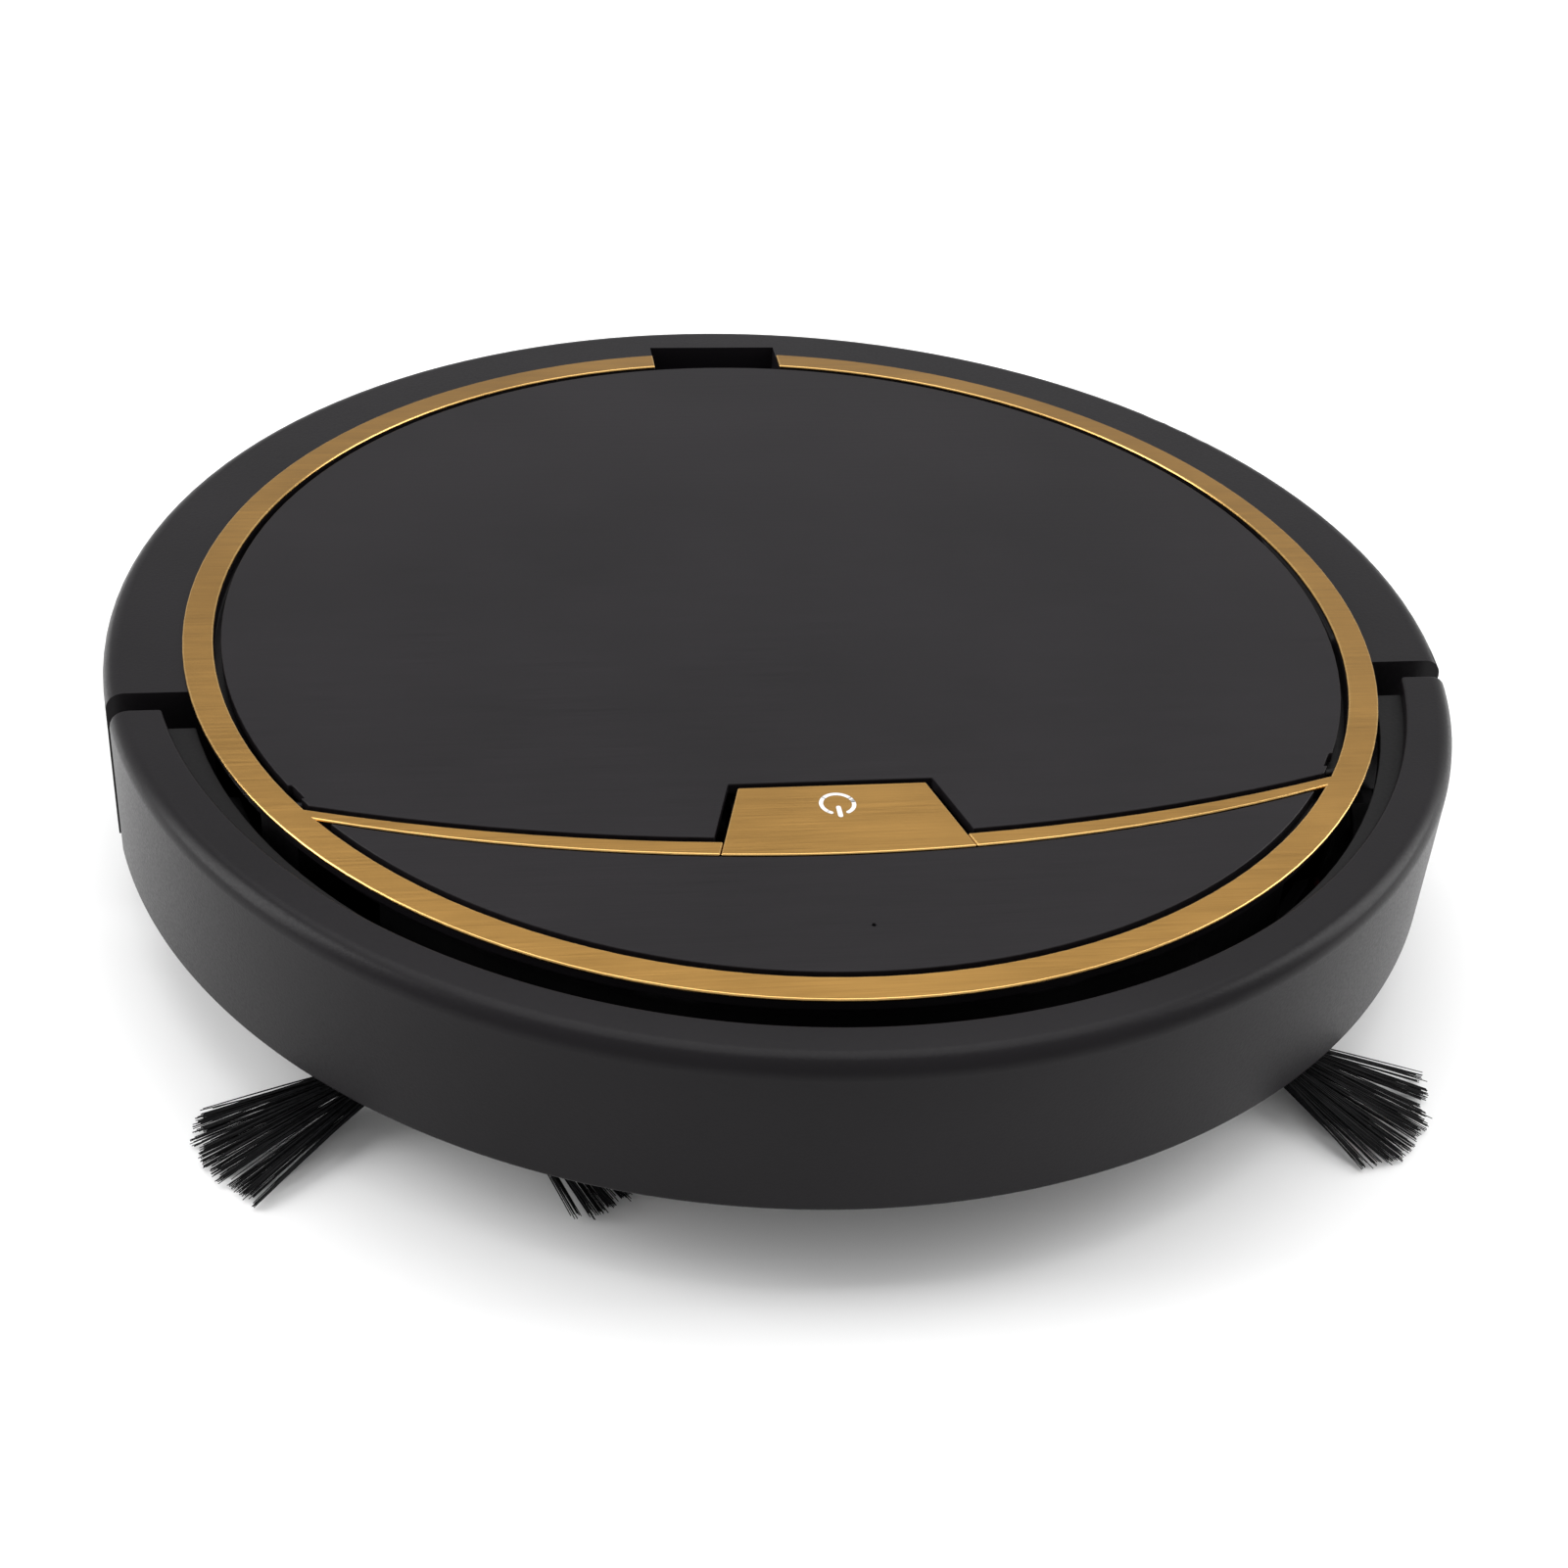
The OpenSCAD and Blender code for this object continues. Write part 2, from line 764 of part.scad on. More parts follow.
module key_switch() {
    y = switch_y;
    color(grey) {
        box([-3.1, y - 3.1, board_z + board_t], [3.1, y + 3.1, board_z + board_t + 3.4]);
        translate([0, y, board_z + board_t + 3.3]) cylinder(d = 3.4, h = 1.7);
    }
}

module main_board() {
    front = -body_r + 34;
    color(green) difference() {
        union() {
            box([-38, front, board_z], [38, bar_front_y - 1, board_z + board_t]);
            box([-17, bar_front_y - 2, board_z], [17, key_rear_y - 1, board_z + board_t]);
        }
        for (s = [-1, 1]) translate([s * 34, front + 4, board_z - cut]) cylinder(d = 3.2, h = 3);
    }
    color(black) {
        box([-20, front + 6, board_z + board_t], [-10, front + 16, board_z + board_t + 1.6]);
        box([2, front + 8, board_z + board_t], [8, front + 13, board_z + board_t + 1.4]);
    }
    color("ivory") for (x = [14, 24])
        box([x, front + 3, board_z + board_t], [x + 8, front + 8, board_z + board_t + 4]);
}

// ---------------------------------------------------------------- bumper

module bumper2d() {
    difference() {
        union() {
            translate([flange_r, skirt_z]) square([body_r - flange_r, deck_z - edge_r - skirt_z]);
            translate([flange_r, skirt_z]) square([flange_w - edge_r, deck_z - skirt_z]);
            translate([body_r - edge_r, deck_z - edge_r]) circle(r = edge_r);
        }
        translate([flange_r - cut, skirt_z - cut]) square([flange_w - wall + cut, shelf_z - skirt_z + cut]);
    }
}

module front_bumper() {
    color(black) intersection() {
        rotate_extrude($fn = 240) bumper2d();
        front_half(bumper_end);
    }
}

module bumper_frame() {
    shelf_end = bumper_end - 2.8;
    color(black) difference() {
        union() {
            // Shelf under the flat top
            difference() {
                intersection() {
                    translate([0, 0, shelf_z - shelf_t]) cylinder(r = frame_r, h = shelf_t);
                    front_half(shelf_end);
                }
                translate([0, -shelf_back, shelf_z - shelf_t - cut])
                    cylinder(r = shelf_r, h = shelf_t + 2 * cut);
            }
            // Lower flange over the base's lip
            intersection() {
                tube(frame_r, body_r - 15, low_flange_z, 2);
                front_half(shelf_end);
            }
            // Band that joins both, and its blocks for the springs and blades for the sensors
            intersection() {
                tube(frame_r, frame_r - 1.8, low_flange_z, shelf_z - 0.5 - low_flange_z);
                front_half(shelf_end);
            }
            intersection() {
                translate([0, 0, low_flange_z]) cylinder(r = frame_r - 1, h = 26);
                for (s = [-1, 1])
                    box([s * spring_x - 6, -body_r, spring_z - 7],
                        [s * spring_x + 6, spring_seat_y - spring_l, spring_z + 7]);
            }
            intersection() {
                translate([0, 0, low_flange_z]) cylinder(r = frame_r - 1, h = 26);
                for (s = [-1, 1])
                    box([s * bump_x - blade_t / 2, -body_r, spring_z - 5],
                        [s * bump_x + blade_t / 2, bump_face - bump_l - 0.3, spring_z + 2]);
            }
        }
        for (s = [-1, 1])
            box([s * stud_x - 2.5, stud_y - bumper_travel - stud_d / 2 - 0.6, low_flange_z - cut],
                [s * stud_x + 2.5, stud_y + stud_d / 2 + 0.6, low_flange_z + 4]);
    }
}

module bumper_springs() {
    color(steel) for (s = [-1, 1])
        translate([s * spring_x, spring_seat_y - 0.02, spring_z]) rotate([90, 0, 0])
            coil(r = 3.4, wire = 0.8, length = spring_l - 0.04, turns = 6);
}

module bump_sensors() {
    fork = blade_t + 1.6;
    color(grey) for (s = [-1, 1]) difference() {
        box([s * bump_x - bump_half, bump_face - bump_l, spring_z - 4],
            [s * bump_x + bump_half, bump_face, spring_z + 2.4]);
        box([s * bump_x - fork / 2, bump_face - bump_l - cut, spring_z - 6],
            [s * bump_x + fork / 2, bump_face - bump_l + bumper_travel + 1, spring_z + 4]);
    }
}

// ---------------------------------------------------------------- battery and board

module battery_pack() {
    color("steelblue") along_x(-pack_w / 2, pack_w) {
        for (s = [-1, 1]) translate([pack_mid + s * cell_d / 2, pack_z + cell_d / 2])
            circle(r = cell_d / 2 + 0.15);
        translate([pack_mid - cell_d / 2, pack_z - 0.1]) square([cell_d, cell_d + 0.2]);
    }
}

module battery_cover() {
    color(black) difference() {
        box([-pack_w / 2, pack_mid - pack_d / 2, ground_gap],
            [pack_w / 2, pack_mid + pack_d / 2, base_top - 0.2]);
        for (s = [-1, 1]) translate([s * (pack_w / 2 - 5), pack_mid, ground_gap - cut])
            cylinder(d = 3.2, h = 5);
        for (i = [-3 : 3])
            box([i * 5 - 1, pack_mid - 8, ground_gap - cut], [i * 5 + 1, pack_mid + 8, ground_gap + 0.5]);
    }
}

// ---------------------------------------------------------------- dust path

module dust_bin() {
    inlet_lo = bin_floor + 5;
    inlet_hi = bin_rim - 12;
    color(smoke) difference() {
        union() {
            box([-bin_half, bin_front, bin_floor], [bin_half, bin_back, bin_rim]);
            box([-bin_half - 1, bin_front - 1, bin_rim - 2], [bin_half + 1, bin_back + 1, bin_rim]);
        }
        box([-bin_half + bin_wall, bin_front + bin_wall, bin_floor + bin_wall],
            [bin_half - bin_wall, bin_back - bin_wall, bin_rim + cut]);
        box([-mouth_half + 6, bin_front - 2, inlet_lo], [mouth_half - 6, bin_front + 4, inlet_hi]);
        box([-24, bin_back - 4, bin_floor + 6], [24, bin_back + 2, bin_rim - 6]);
    }
}

module bin_cover() {
    top = tray_top - 0.4;
    color(smoke) difference() {
        union() {
            box([-bin_half - 1, bin_front - 1, bin_rim + 0.02], [bin_half + 1, bin_back + 1, top]);
            box([-18, bin_back - 34, bin_rim - 6], [18, bin_back - 14, top]);
        }
        box([-16.4, bin_back - 32.4, bin_rim - 4.4], [16.4, bin_back - 15.6, top + cut]);
    }
}

module filter_frame() {
    back = bin_back - bin_wall - 0.4;
    lo = bin_floor + bin_wall + 0.3;
    hi = bin_rim - 0.5;
    half = bin_half - bin_wall - 1;
    color(grey) difference() {
        box([-half, back - 9, lo], [half, back, hi]);
        box([-half + 3, back - 8, lo + 3], [half - 3, back + cut, hi - 3]);
        for (i = [-3 : 3]) translate([i * (half - 4) / 3.5, 0, 0])
            box([-half / 9, back - 9 - cut, lo + 3], [half / 9, back - 6, hi - 3]);
    }
}

module hepa_filter() {
    back = bin_back - bin_wall - 0.4;
    lo = bin_floor + bin_wall + 3.4;
    hi = bin_rim - 3.6;
    half = bin_half - bin_wall - 4.2;
    pleats = 16;
    pitch = 2 * half / pleats;
    color("white") translate([0, 0, lo]) linear_extrude(height = hi - lo) polygon([
        for (i = [0 : pleats - 1])
            each [[-half + i * pitch, back - 7.6], [-half + (i + 0.5) * pitch, back - 2.2]],
        [half, back - 7.6],
        for (i = [pleats - 1 : -1 : 0])
            each [[-half + (i + 1) * pitch, back - 6.0], [-half + (i + 0.5) * pitch, back - 0.6]],
        [-half, back - 6.0]
    ]);
}

module suction_duct() {
    outlet_lo = bin_floor + 5;
    outlet_hi = bin_rim - 12;
    back = bin_front - 0.4;
    color(black) difference() {
        along_x(-mouth_half - 1.6, 2 * mouth_half + 3.2) polygon([
            [mouth_front - 1.6, ground_gap], [mouth_back + 1.6, ground_gap],
            [mouth_back + 1.6, outlet_lo - 3], [back, outlet_lo - 1.6], [back, outlet_hi + 1.6],
            [mouth_front + 6, outlet_hi + 1.6], [mouth_front - 1.6, outlet_lo]
        ]);
        along_x(-mouth_half, 2 * mouth_half) polygon([
            [mouth_front, ground_gap - cut], [mouth_back, ground_gap - cut],
            [mouth_back, outlet_lo - 1.6], [back + cut, outlet_lo], [back + cut, outlet_hi],
            [mouth_front + 6.8, outlet_hi], [mouth_front, outlet_lo - 0.6]
        ]);
    }
}

module mouth_lip() {
    color("dimgray")
        box([-mouth_half - 1, mouth_back + 2.4, 2], [mouth_half + 1, mouth_back + 4, ground_gap - 0.02]);
}

module fan_shroud() {
    color(black) difference() {
        union() {
            rod_y(0, fan_front, fan_z, scroll_r, 1.8);
            rod_y(0, fan_front - 1.6, fan_z, impeller_d * 0.36 + 1.4, 2);
        }
        rod_y(0, fan_front - 2, fan_z, impeller_d * 0.36, 6);
    }
}

module fan_scroll() {
    back = fan_front + fan_depth;
    color(black) difference() {
        union() {
            rod_y(0, fan_front + 1.82, fan_z, scroll_r, fan_depth - 1.82);
            box([0, fan_front + 1.82, fan_z + scroll_r - 11],
                [scroll_r + 9, back, fan_z + scroll_r - 0.6]);
        }
        rod_y(0, fan_front + 1, fan_z, scroll_r - 1.6, fan_depth - 2.8);
        box([0, fan_front + 3.4, fan_z + scroll_r - 9.4],
            [scroll_r + 10, back - 1.8, fan_z + scroll_r - 2.2]);
        rod_y(0, back - 4, fan_z, 3, 6);
    }
}

module fan_impeller() {
    back = fan_front + fan_depth - 3.4;
    blades = 9;
    color(grey) {
        rod_y(0, back - 1.2, fan_z, impeller_d / 2, 1.2);
        rod_y(0, back - 7, fan_z, 3.2, 6);
        rod_y(0, back - 0.2, fan_z, 1, 7);
        for (i = [0 : blades - 1])
            translate([0, back - 7.5, fan_z]) rotate([-90, 0, 0]) rotate([0, 0, 360 / blades * i])
                translate([2.9, 0, 0]) rotate([0, 0, 18])
                    box([0, -0.45, 0], [impeller_d / 2 - 3.6, 0.45, 6.4]);
    }
}

module fan_motor() {
    front = fan_front + fan_depth + 0.2;
    color(steel) difference() {
        union() {
            rod_y(0, front, fan_z, fan_motor_d / 2, fan_motor_l);
            rod_y(0, front + fan_motor_l - 0.2, fan_z, 4, 2);
        }
        rod_y(0, front - 1, fan_z, 1 + run, 12);
        rod_y(0, front - 1, fan_z, 3.2, 1.4);
    }
}

module exhaust_grille() {
    inset = 0.3;
    bars = 9;
    color(black) intersection() {
        rotate([0, 0, 90 - grille_half + inset / 2]) rotate_extrude(angle = 2 * grille_half - inset)
            translate([inner_r - 0.4, grille_z + inset / 2]) square([wall, grille_h - inset]);
        union() {
            for (z = [grille_z - 2, grille_z + grille_h - 2]) translate([0, 0, z])
                cylinder(r = body_r + 5, h = 4);
            for (i = [0 : bars]) rotate([0, 0, 90 - grille_half + 2 * grille_half * i / bars])
                box([inner_r - 5, -1.4, grille_z - 1], [body_r + 5, 1.4, grille_z + grille_h + 1]);
        }
    }
}

// ---------------------------------------------------------------- jack and switch

module dc_jack() {
    color(black) on_wall(jack_turn, jack_z) difference() {
        union() {
            rod_x(-13, 0, 0, 4.9, 12.8);
            box([-16, -5.5, -5.5], [-3.2, 5.5, 5.5]);
        }
        rod_x(-10, 0, 0, 2.75, 12);
    }
    color(steel) on_wall(jack_turn, jack_z) rod_x(-10.5, 0, 0, 1.05, 8);
}

module switch_frame() {
    color(black) on_wall(switch_turn, jack_z) difference() {
        box([-14, -9.4, -5.4], [-0.6, 9.4, 5.4]);
        box([-7, -7.6, -3.8], [1, 7.6, 3.8]);
        translate([-3.4, 0, -5.2]) cylinder(d = 2 + 2 * run, h = 10.4);
    }
}

module rocker_key() {
    color("dimgray") on_wall(switch_turn, jack_z) translate([-3.4, 0, 0])
        rotate([0, 0, -switch_tilt]) {
            translate([0, 0, -3.4]) linear_extrude(height = 6.8)
                polygon([[1.2, -6.9], [3.4, -6.9], [2.2, 0], [3.4, 6.9], [1.2, 6.9], [-1.8, 0]]);
            translate([0, 0, -5]) cylinder(d = 2, h = 10);
        }
}

module cliff_windows() {
    color("maroon") for (p = window_places()) translate([p.x, p.y, ground_gap]) box([-7, -3, 0], [7, 3, 4]);
}

module case_screws() {
    color(steel) for (p = all_screws()) difference() {
        union() {
            translate([p.x, p.y, ground_gap - 0.1]) cylinder(d = 6, h = 1.2);
            translate([p.x, p.y, ground_gap]) cylinder(d = 2.5, h = 12);
        }
        translate([p.x, p.y, ground_gap - 0.2]) for (a = [0, 90]) rotate([0, 0, a])
            box([-1.8, -0.4, -cut], [1.8, 0.4, 0.9]);
    }
}

// ---------------------------------------------------------------- drive wheels

// Turns a side view about p
module turned(p, a) {
    translate(p) rotate(a) children();
}

function heading(p, q) = atan2(q.y - p.y, q.x - p.x);

module case2d(shrink) {
    strap(axle_p, 10.9 - shrink, idler_p, 12.4 - shrink);
    strap(idler_p, 12.4 - shrink, pinion_p, 7.2 - shrink);
}

module swing_arm() {
    color(black) difference() {
        union() {
            along_x(case_x, case_w - case_wall) case2d(0);
            along_x(case_x, case_w) intersection() {
                strap(pinion_p, 6, pivot_p, 4.6);
                translate([pinion_p.x + 3.6, 0]) square(body_h);
            }
            along_x(case_x, case_w - case_wall) strap(pinion_p, 6, pivot_p, 4.6);
            translate([case_x + 6, arm_spring_y + wheel_y, idler_p.y + 6])
                cylinder(d = 9, h = arm_spring_z - idler_p.y - 6);
            translate([case_x + 6, arm_spring_y + wheel_y, arm_spring_z - 1]) cylinder(d = 4, h = 3);
        }
        along_x(case_x + case_wall, case_w) case2d(case_wall);
        rod_x(case_x - 1, pivot_p.x, pivot_p.y, pivot_d / 2 + run, case_w + 2);
        rod_x(case_x - 1, axle_p.x, axle_p.y, 2 + run, 5);
        rod_x(case_x - 1, pinion_p.x, pinion_p.y, 3.2, 5);
    }
    // Fixed pin that carries the idler gear
    color(steel) rod_x(case_x + 0.4, idler_p.x, idler_p.y, 1, case_w - case_wall - 0.6);
}

module gear_cover() {
    x = case_x + case_w - case_wall + 0.02;
    color(black) difference() {
        union() {
            along_x(x, case_wall) strap(axle_p, 10.6, idler_p, 12.1);
            along_x(x, case_wall) strap(idler_p, 12.1, pinion_p, 6.9);
        }
        box([x - 1, pinion_p.x + 3.2, 0], [x + case_wall + 1, far, body_h]);
        rod_x(case_x, axle_p.x, axle_p.y, 2 + run, case_w + 5);
    }
}

module drive_motor() {
    front = case_x - 0.02;
    color(steel) difference() {
        union() {
            rod_x(front - motor_l, pinion_p.x, pinion_p.y, motor_d / 2, motor_l);
            rod_x(front - 0.1, pinion_p.x, pinion_p.y, 3, 1.5);
        }
        rod_x(front - 9, pinion_p.x, pinion_p.y, 1 + run, 14);
    }
}

module pinion() {
    color("ivory") {
        along_x(case_x + 7.6, 3)
            turned(pinion_p, heading(pinion_p, idler_p) + 180 / teeth_small) gear2d(teeth_small);
        rod_x(case_x - 8, pinion_p.x, pinion_p.y, 1, 16);
    }
}

module idler_gear() {
    color("ivory") difference() {
        union() {
            along_x(case_x + 7.6, 3) turned(idler_p, heading(idler_p, pinion_p)) gear2d(teeth_idler);
            along_x(case_x + 2.4, 5.3)
                turned(idler_p, heading(idler_p, axle_p) + 180 / teeth_small) gear2d(teeth_small);
        }
        rod_x(case_x, idler_p.x, idler_p.y, 1 + run, case_w);
    }
}

module output_gear() {
    color("ivory") {
        along_x(case_x + 2.6, 4.4) turned(axle_p, heading(axle_p, idler_p)) gear2d(teeth_out);
        rod_x(case_x + 0.2, axle_p.x, axle_p.y, 2, wheel_x - case_x + wheel_w / 2 - 2.2);
    }
}

module wheel_hub() {
    rim_r = wheel_r - tyre_t;
    x = wheel_x - wheel_w / 2;
    color(grey) difference() {
        rod_x(x + 0.5, axle_p.x, axle_p.y, rim_r, wheel_w - 1);
        rod_x(x + wheel_w - 3, axle_p.x, axle_p.y, rim_r - 2, 4);
        rod_x(x - 1, axle_p.x, axle_p.y, 2.02, wheel_w - 0.4);
        for (a = [0 : 60 : 300]) translate([0, axle_p.x, axle_p.y]) rotate([a, 0, 0])
            rod_x(x - 1, 0, rim_r * 0.62, 2.6, wheel_w + 2);
    }
}

module tyre() {
    rim_r = wheel_r - tyre_t;
    x = wheel_x - wheel_w / 2;
    lugs = 20;
    color("dimgray") difference() {
        union() {
            rod_x(x, axle_p.x, axle_p.y, wheel_r - 1.2, wheel_w);
            along_x(x + 1, wheel_w - 2) translate(axle_p) for (i = [0 : lugs - 1])
                rotate(360 / lugs * i - 90) intersection() {
                    circle(r = wheel_r);
                    translate([wheel_r - 3, -1.7]) square([4, 3.4]);
                }
        }
        rod_x(x - 1, axle_p.x, axle_p.y, rim_r + 0.02, wheel_w + 2);
    }
}

module on_left() {
    mirror([1, 0, 0]) children();
}

module suspension_pins() {
    color(steel) for (s = [0, 1]) mirror([s, 0, 0])
        rod_x(case_x - 0.4 - lug_t, pivot_p.x, pivot_p.y, pivot_d / 2, case_w + 2 * lug_t + 1);
}

module suspension_springs() {
    top = tray_under - 0.04;
    color(steel) for (s = [0, 1]) mirror([s, 0, 0])
        translate([case_x + 6, arm_spring_y + wheel_y, arm_spring_z + 0.02])
            coil(r = 3.2, wire = 0.9, length = top - arm_spring_z, turns = 6);
}

// ---------------------------------------------------------------- caster

module caster_fork() {
    top = socket_z - 0.8;
    color(black) difference() {
        union() {
            translate([0, caster_y, ground_gap + 0.6]) cylinder(r = caster_puck, h = top - ground_gap - 0.6);
            translate([0, caster_y, top - 1]) cylinder(d = stem_d, h = stem_h + 1);
            for (s = [-1, 1]) along_x(s * 8 - 1.6, 3.2) union() {
                translate([caster_y + caster_trail, caster_r]) circle(r = 4);
                translate([caster_y + caster_trail - 4, caster_r]) square([8, 6]);
            }
        }
        box([-6.4, caster_y + caster_trail - caster_r - 1.5, 0],
            [6.4, caster_y + caster_trail + caster_r + 1.5, 2 * caster_r + 1]);
        rod_x(-12, caster_y + caster_trail, caster_r, 1.52, 24);
    }
}

module caster_axle() {
    color(steel) rod_x(-9.4, caster_y + caster_trail, caster_r, 1.5, 18.8);
}

module caster_wheel() {
    y = caster_y + caster_trail;
    color("dimgray") difference() {
        rod_x(-5.6, y, caster_r, caster_r, 11.2);
        for (s = [-1, 1]) rod_x(s > 0 ? 4.6 : -6.6, y, caster_r, caster_r - 2.4, 2);
        rod_x(-8, y, caster_r, 1.5 + run, 16);
    }
}

// ---------------------------------------------------------------- side brushes

// Geared motor whose shaft stands off its middle, away from the nose wall
module brush_motor(s) {
    shaft = [s * brush_x, brush_y];
    c = shaft * (1 - 6 / norm(shaft));
    color(steel) difference() {
        union() {
            translate([c.x, c.y, brush_motor_z]) cylinder(d = 22, h = 8);
            translate([c.x, c.y, brush_motor_z + 7.9]) cylinder(d = 19, h = brush_motor_h - 8);
            for (a = [90, 270]) translate([c.x, c.y, brush_motor_z])
                rotate([0, 0, a + atan2(shaft.y, shaft.x)]) box([0, -3.5, 0], [15, 3.5, 2]);
        }
        translate([s * brush_x, brush_y, brush_motor_z - 1]) cylinder(d = brush_stem_d + 2 * run, h = 9);
    }
}

module brush_hub(s, turn) {
    color(black) translate([s * brush_x, brush_y, 0]) difference() {
        union() {
            translate([0, 0, hub_z]) cylinder(d = hub_d, h = hub_t);
            translate([0, 0, hub_z + 1]) cylinder(d = brush_stem_d, h = brush_motor_z + 7 - hub_z - 1);
            for (a = [0, 120, 240]) rotate([0, 0, turn + a])
                box([0, -4.2, hub_z + 0.3], [17, 4.2, hub_z + 4.7]);
        }
        translate([0, 0, hub_z - cut]) cylinder(d = 5, h = cut + 2.4);
        for (a = [0, 120, 240]) rotate([0, 0, turn + a])
            box([11, -3.4, hub_z + 1.1], [18, 3.4, hub_z + 3.9]);
    }
}

// One fan of bristles, sloping down to the floor
module bristle_fan() {
    root = 15.6;
    root_half = 3.3;
    slope = atan((hub_z + 1.6 - 1) / (brush_reach - root));
    w = brush_reach * tan(fan_half);
    translate([root, 0, hub_z + 1.6]) rotate([0, slope, 0]) linear_extrude(height = 1.8) polygon([
        [0, -root_half], [2, -root_half], [brush_reach - root - 3, -w], [brush_reach - root, -w * 0.45],
        [brush_reach - root, w * 0.45], [brush_reach - root - 3, w], [2, root_half], [0, root_half]
    ]);
}

module bristles(s, turn) {
    color("dimgray") translate([s * brush_x, brush_y, 0])
        for (a = [0, 120, 240]) rotate([0, 0, turn + a]) bristle_fan();
}

// ---------------------------------------------------------------- the pieces

base_plate();
top_shell();
trim_frame();
front_panel();
lid();
lid_pins();
power_key();
key_carrier();
key_switch();
main_board();
front_bumper();
bumper_frame();
bumper_springs();
bump_sensors();
battery_pack();
battery_cover();
dust_bin();
bin_cover();
filter_frame();
hepa_filter();
suction_duct();
mouth_lip();
fan_shroud();
fan_scroll();
fan_impeller();
fan_motor();
exhaust_grille();
dc_jack();
switch_frame();
rocker_key();
cliff_windows();
case_screws();
suspension_pins();
swing_arm();  // right_swing_arm
on_left() swing_arm();  // left_swing_arm
gear_cover();  // right_gear_cover
on_left() gear_cover();  // left_gear_cover
drive_motor();  // right_drive_motor
on_left() drive_motor();  // left_drive_motor
pinion();  // right_pinion
on_left() pinion();  // left_pinion
idler_gear();  // right_idler_gear
on_left() idler_gear();  // left_idler_gear
output_gear();  // right_output_gear
on_left() output_gear();  // left_output_gear
wheel_hub();  // right_wheel_hub
on_left() wheel_hub();  // left_wheel_hub
tyre();  // right_tyre
on_left() tyre();  // left_tyre
suspension_springs();
caster_fork();
caster_axle();
caster_wheel();
brush_motor(1);  // right_brush_motor
brush_motor(-1);  // left_brush_motor
brush_hub(1, right_arm);  // right_brush_hub
brush_hub(-1, left_arm);  // left_brush_hub
bristles(1, right_arm);  // right_bristles
bristles(-1, left_arm);  // left_bristles
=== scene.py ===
import json
import math
import random

import bmesh
import bpy
from mathutils import Matrix, Vector


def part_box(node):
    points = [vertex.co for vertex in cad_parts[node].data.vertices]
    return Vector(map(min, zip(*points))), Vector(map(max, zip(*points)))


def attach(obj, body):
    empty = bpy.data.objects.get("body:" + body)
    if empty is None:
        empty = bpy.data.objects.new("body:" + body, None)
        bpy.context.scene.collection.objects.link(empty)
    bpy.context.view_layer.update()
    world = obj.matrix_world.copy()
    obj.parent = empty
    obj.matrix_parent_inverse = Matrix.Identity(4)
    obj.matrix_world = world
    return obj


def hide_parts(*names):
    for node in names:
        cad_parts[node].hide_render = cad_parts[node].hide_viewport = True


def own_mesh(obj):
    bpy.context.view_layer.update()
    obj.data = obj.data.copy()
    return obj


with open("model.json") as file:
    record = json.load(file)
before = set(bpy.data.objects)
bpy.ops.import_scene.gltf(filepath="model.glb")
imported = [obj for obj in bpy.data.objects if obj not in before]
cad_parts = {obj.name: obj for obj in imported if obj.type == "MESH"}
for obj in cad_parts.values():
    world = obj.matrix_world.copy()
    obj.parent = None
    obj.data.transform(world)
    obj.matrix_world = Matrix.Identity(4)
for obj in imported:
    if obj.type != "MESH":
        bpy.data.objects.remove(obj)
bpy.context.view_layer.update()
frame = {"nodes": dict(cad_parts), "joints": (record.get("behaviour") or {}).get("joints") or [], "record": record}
NODES = frame["nodes"]
SLOT_OF = {row["node"]: row["material_slot"] for row in frame["record"]["subparts"]}
BODY_OF = {n: b for b, names in frame["record"]["behaviour"]["bodies"].items() for n in names}
MM = 0.001


def joint_named(name):
    """The record's joint of that name."""
    return next(j for j in frame["joints"] if j["name"] == name)


# ---------------------------------------------------------------- node trees


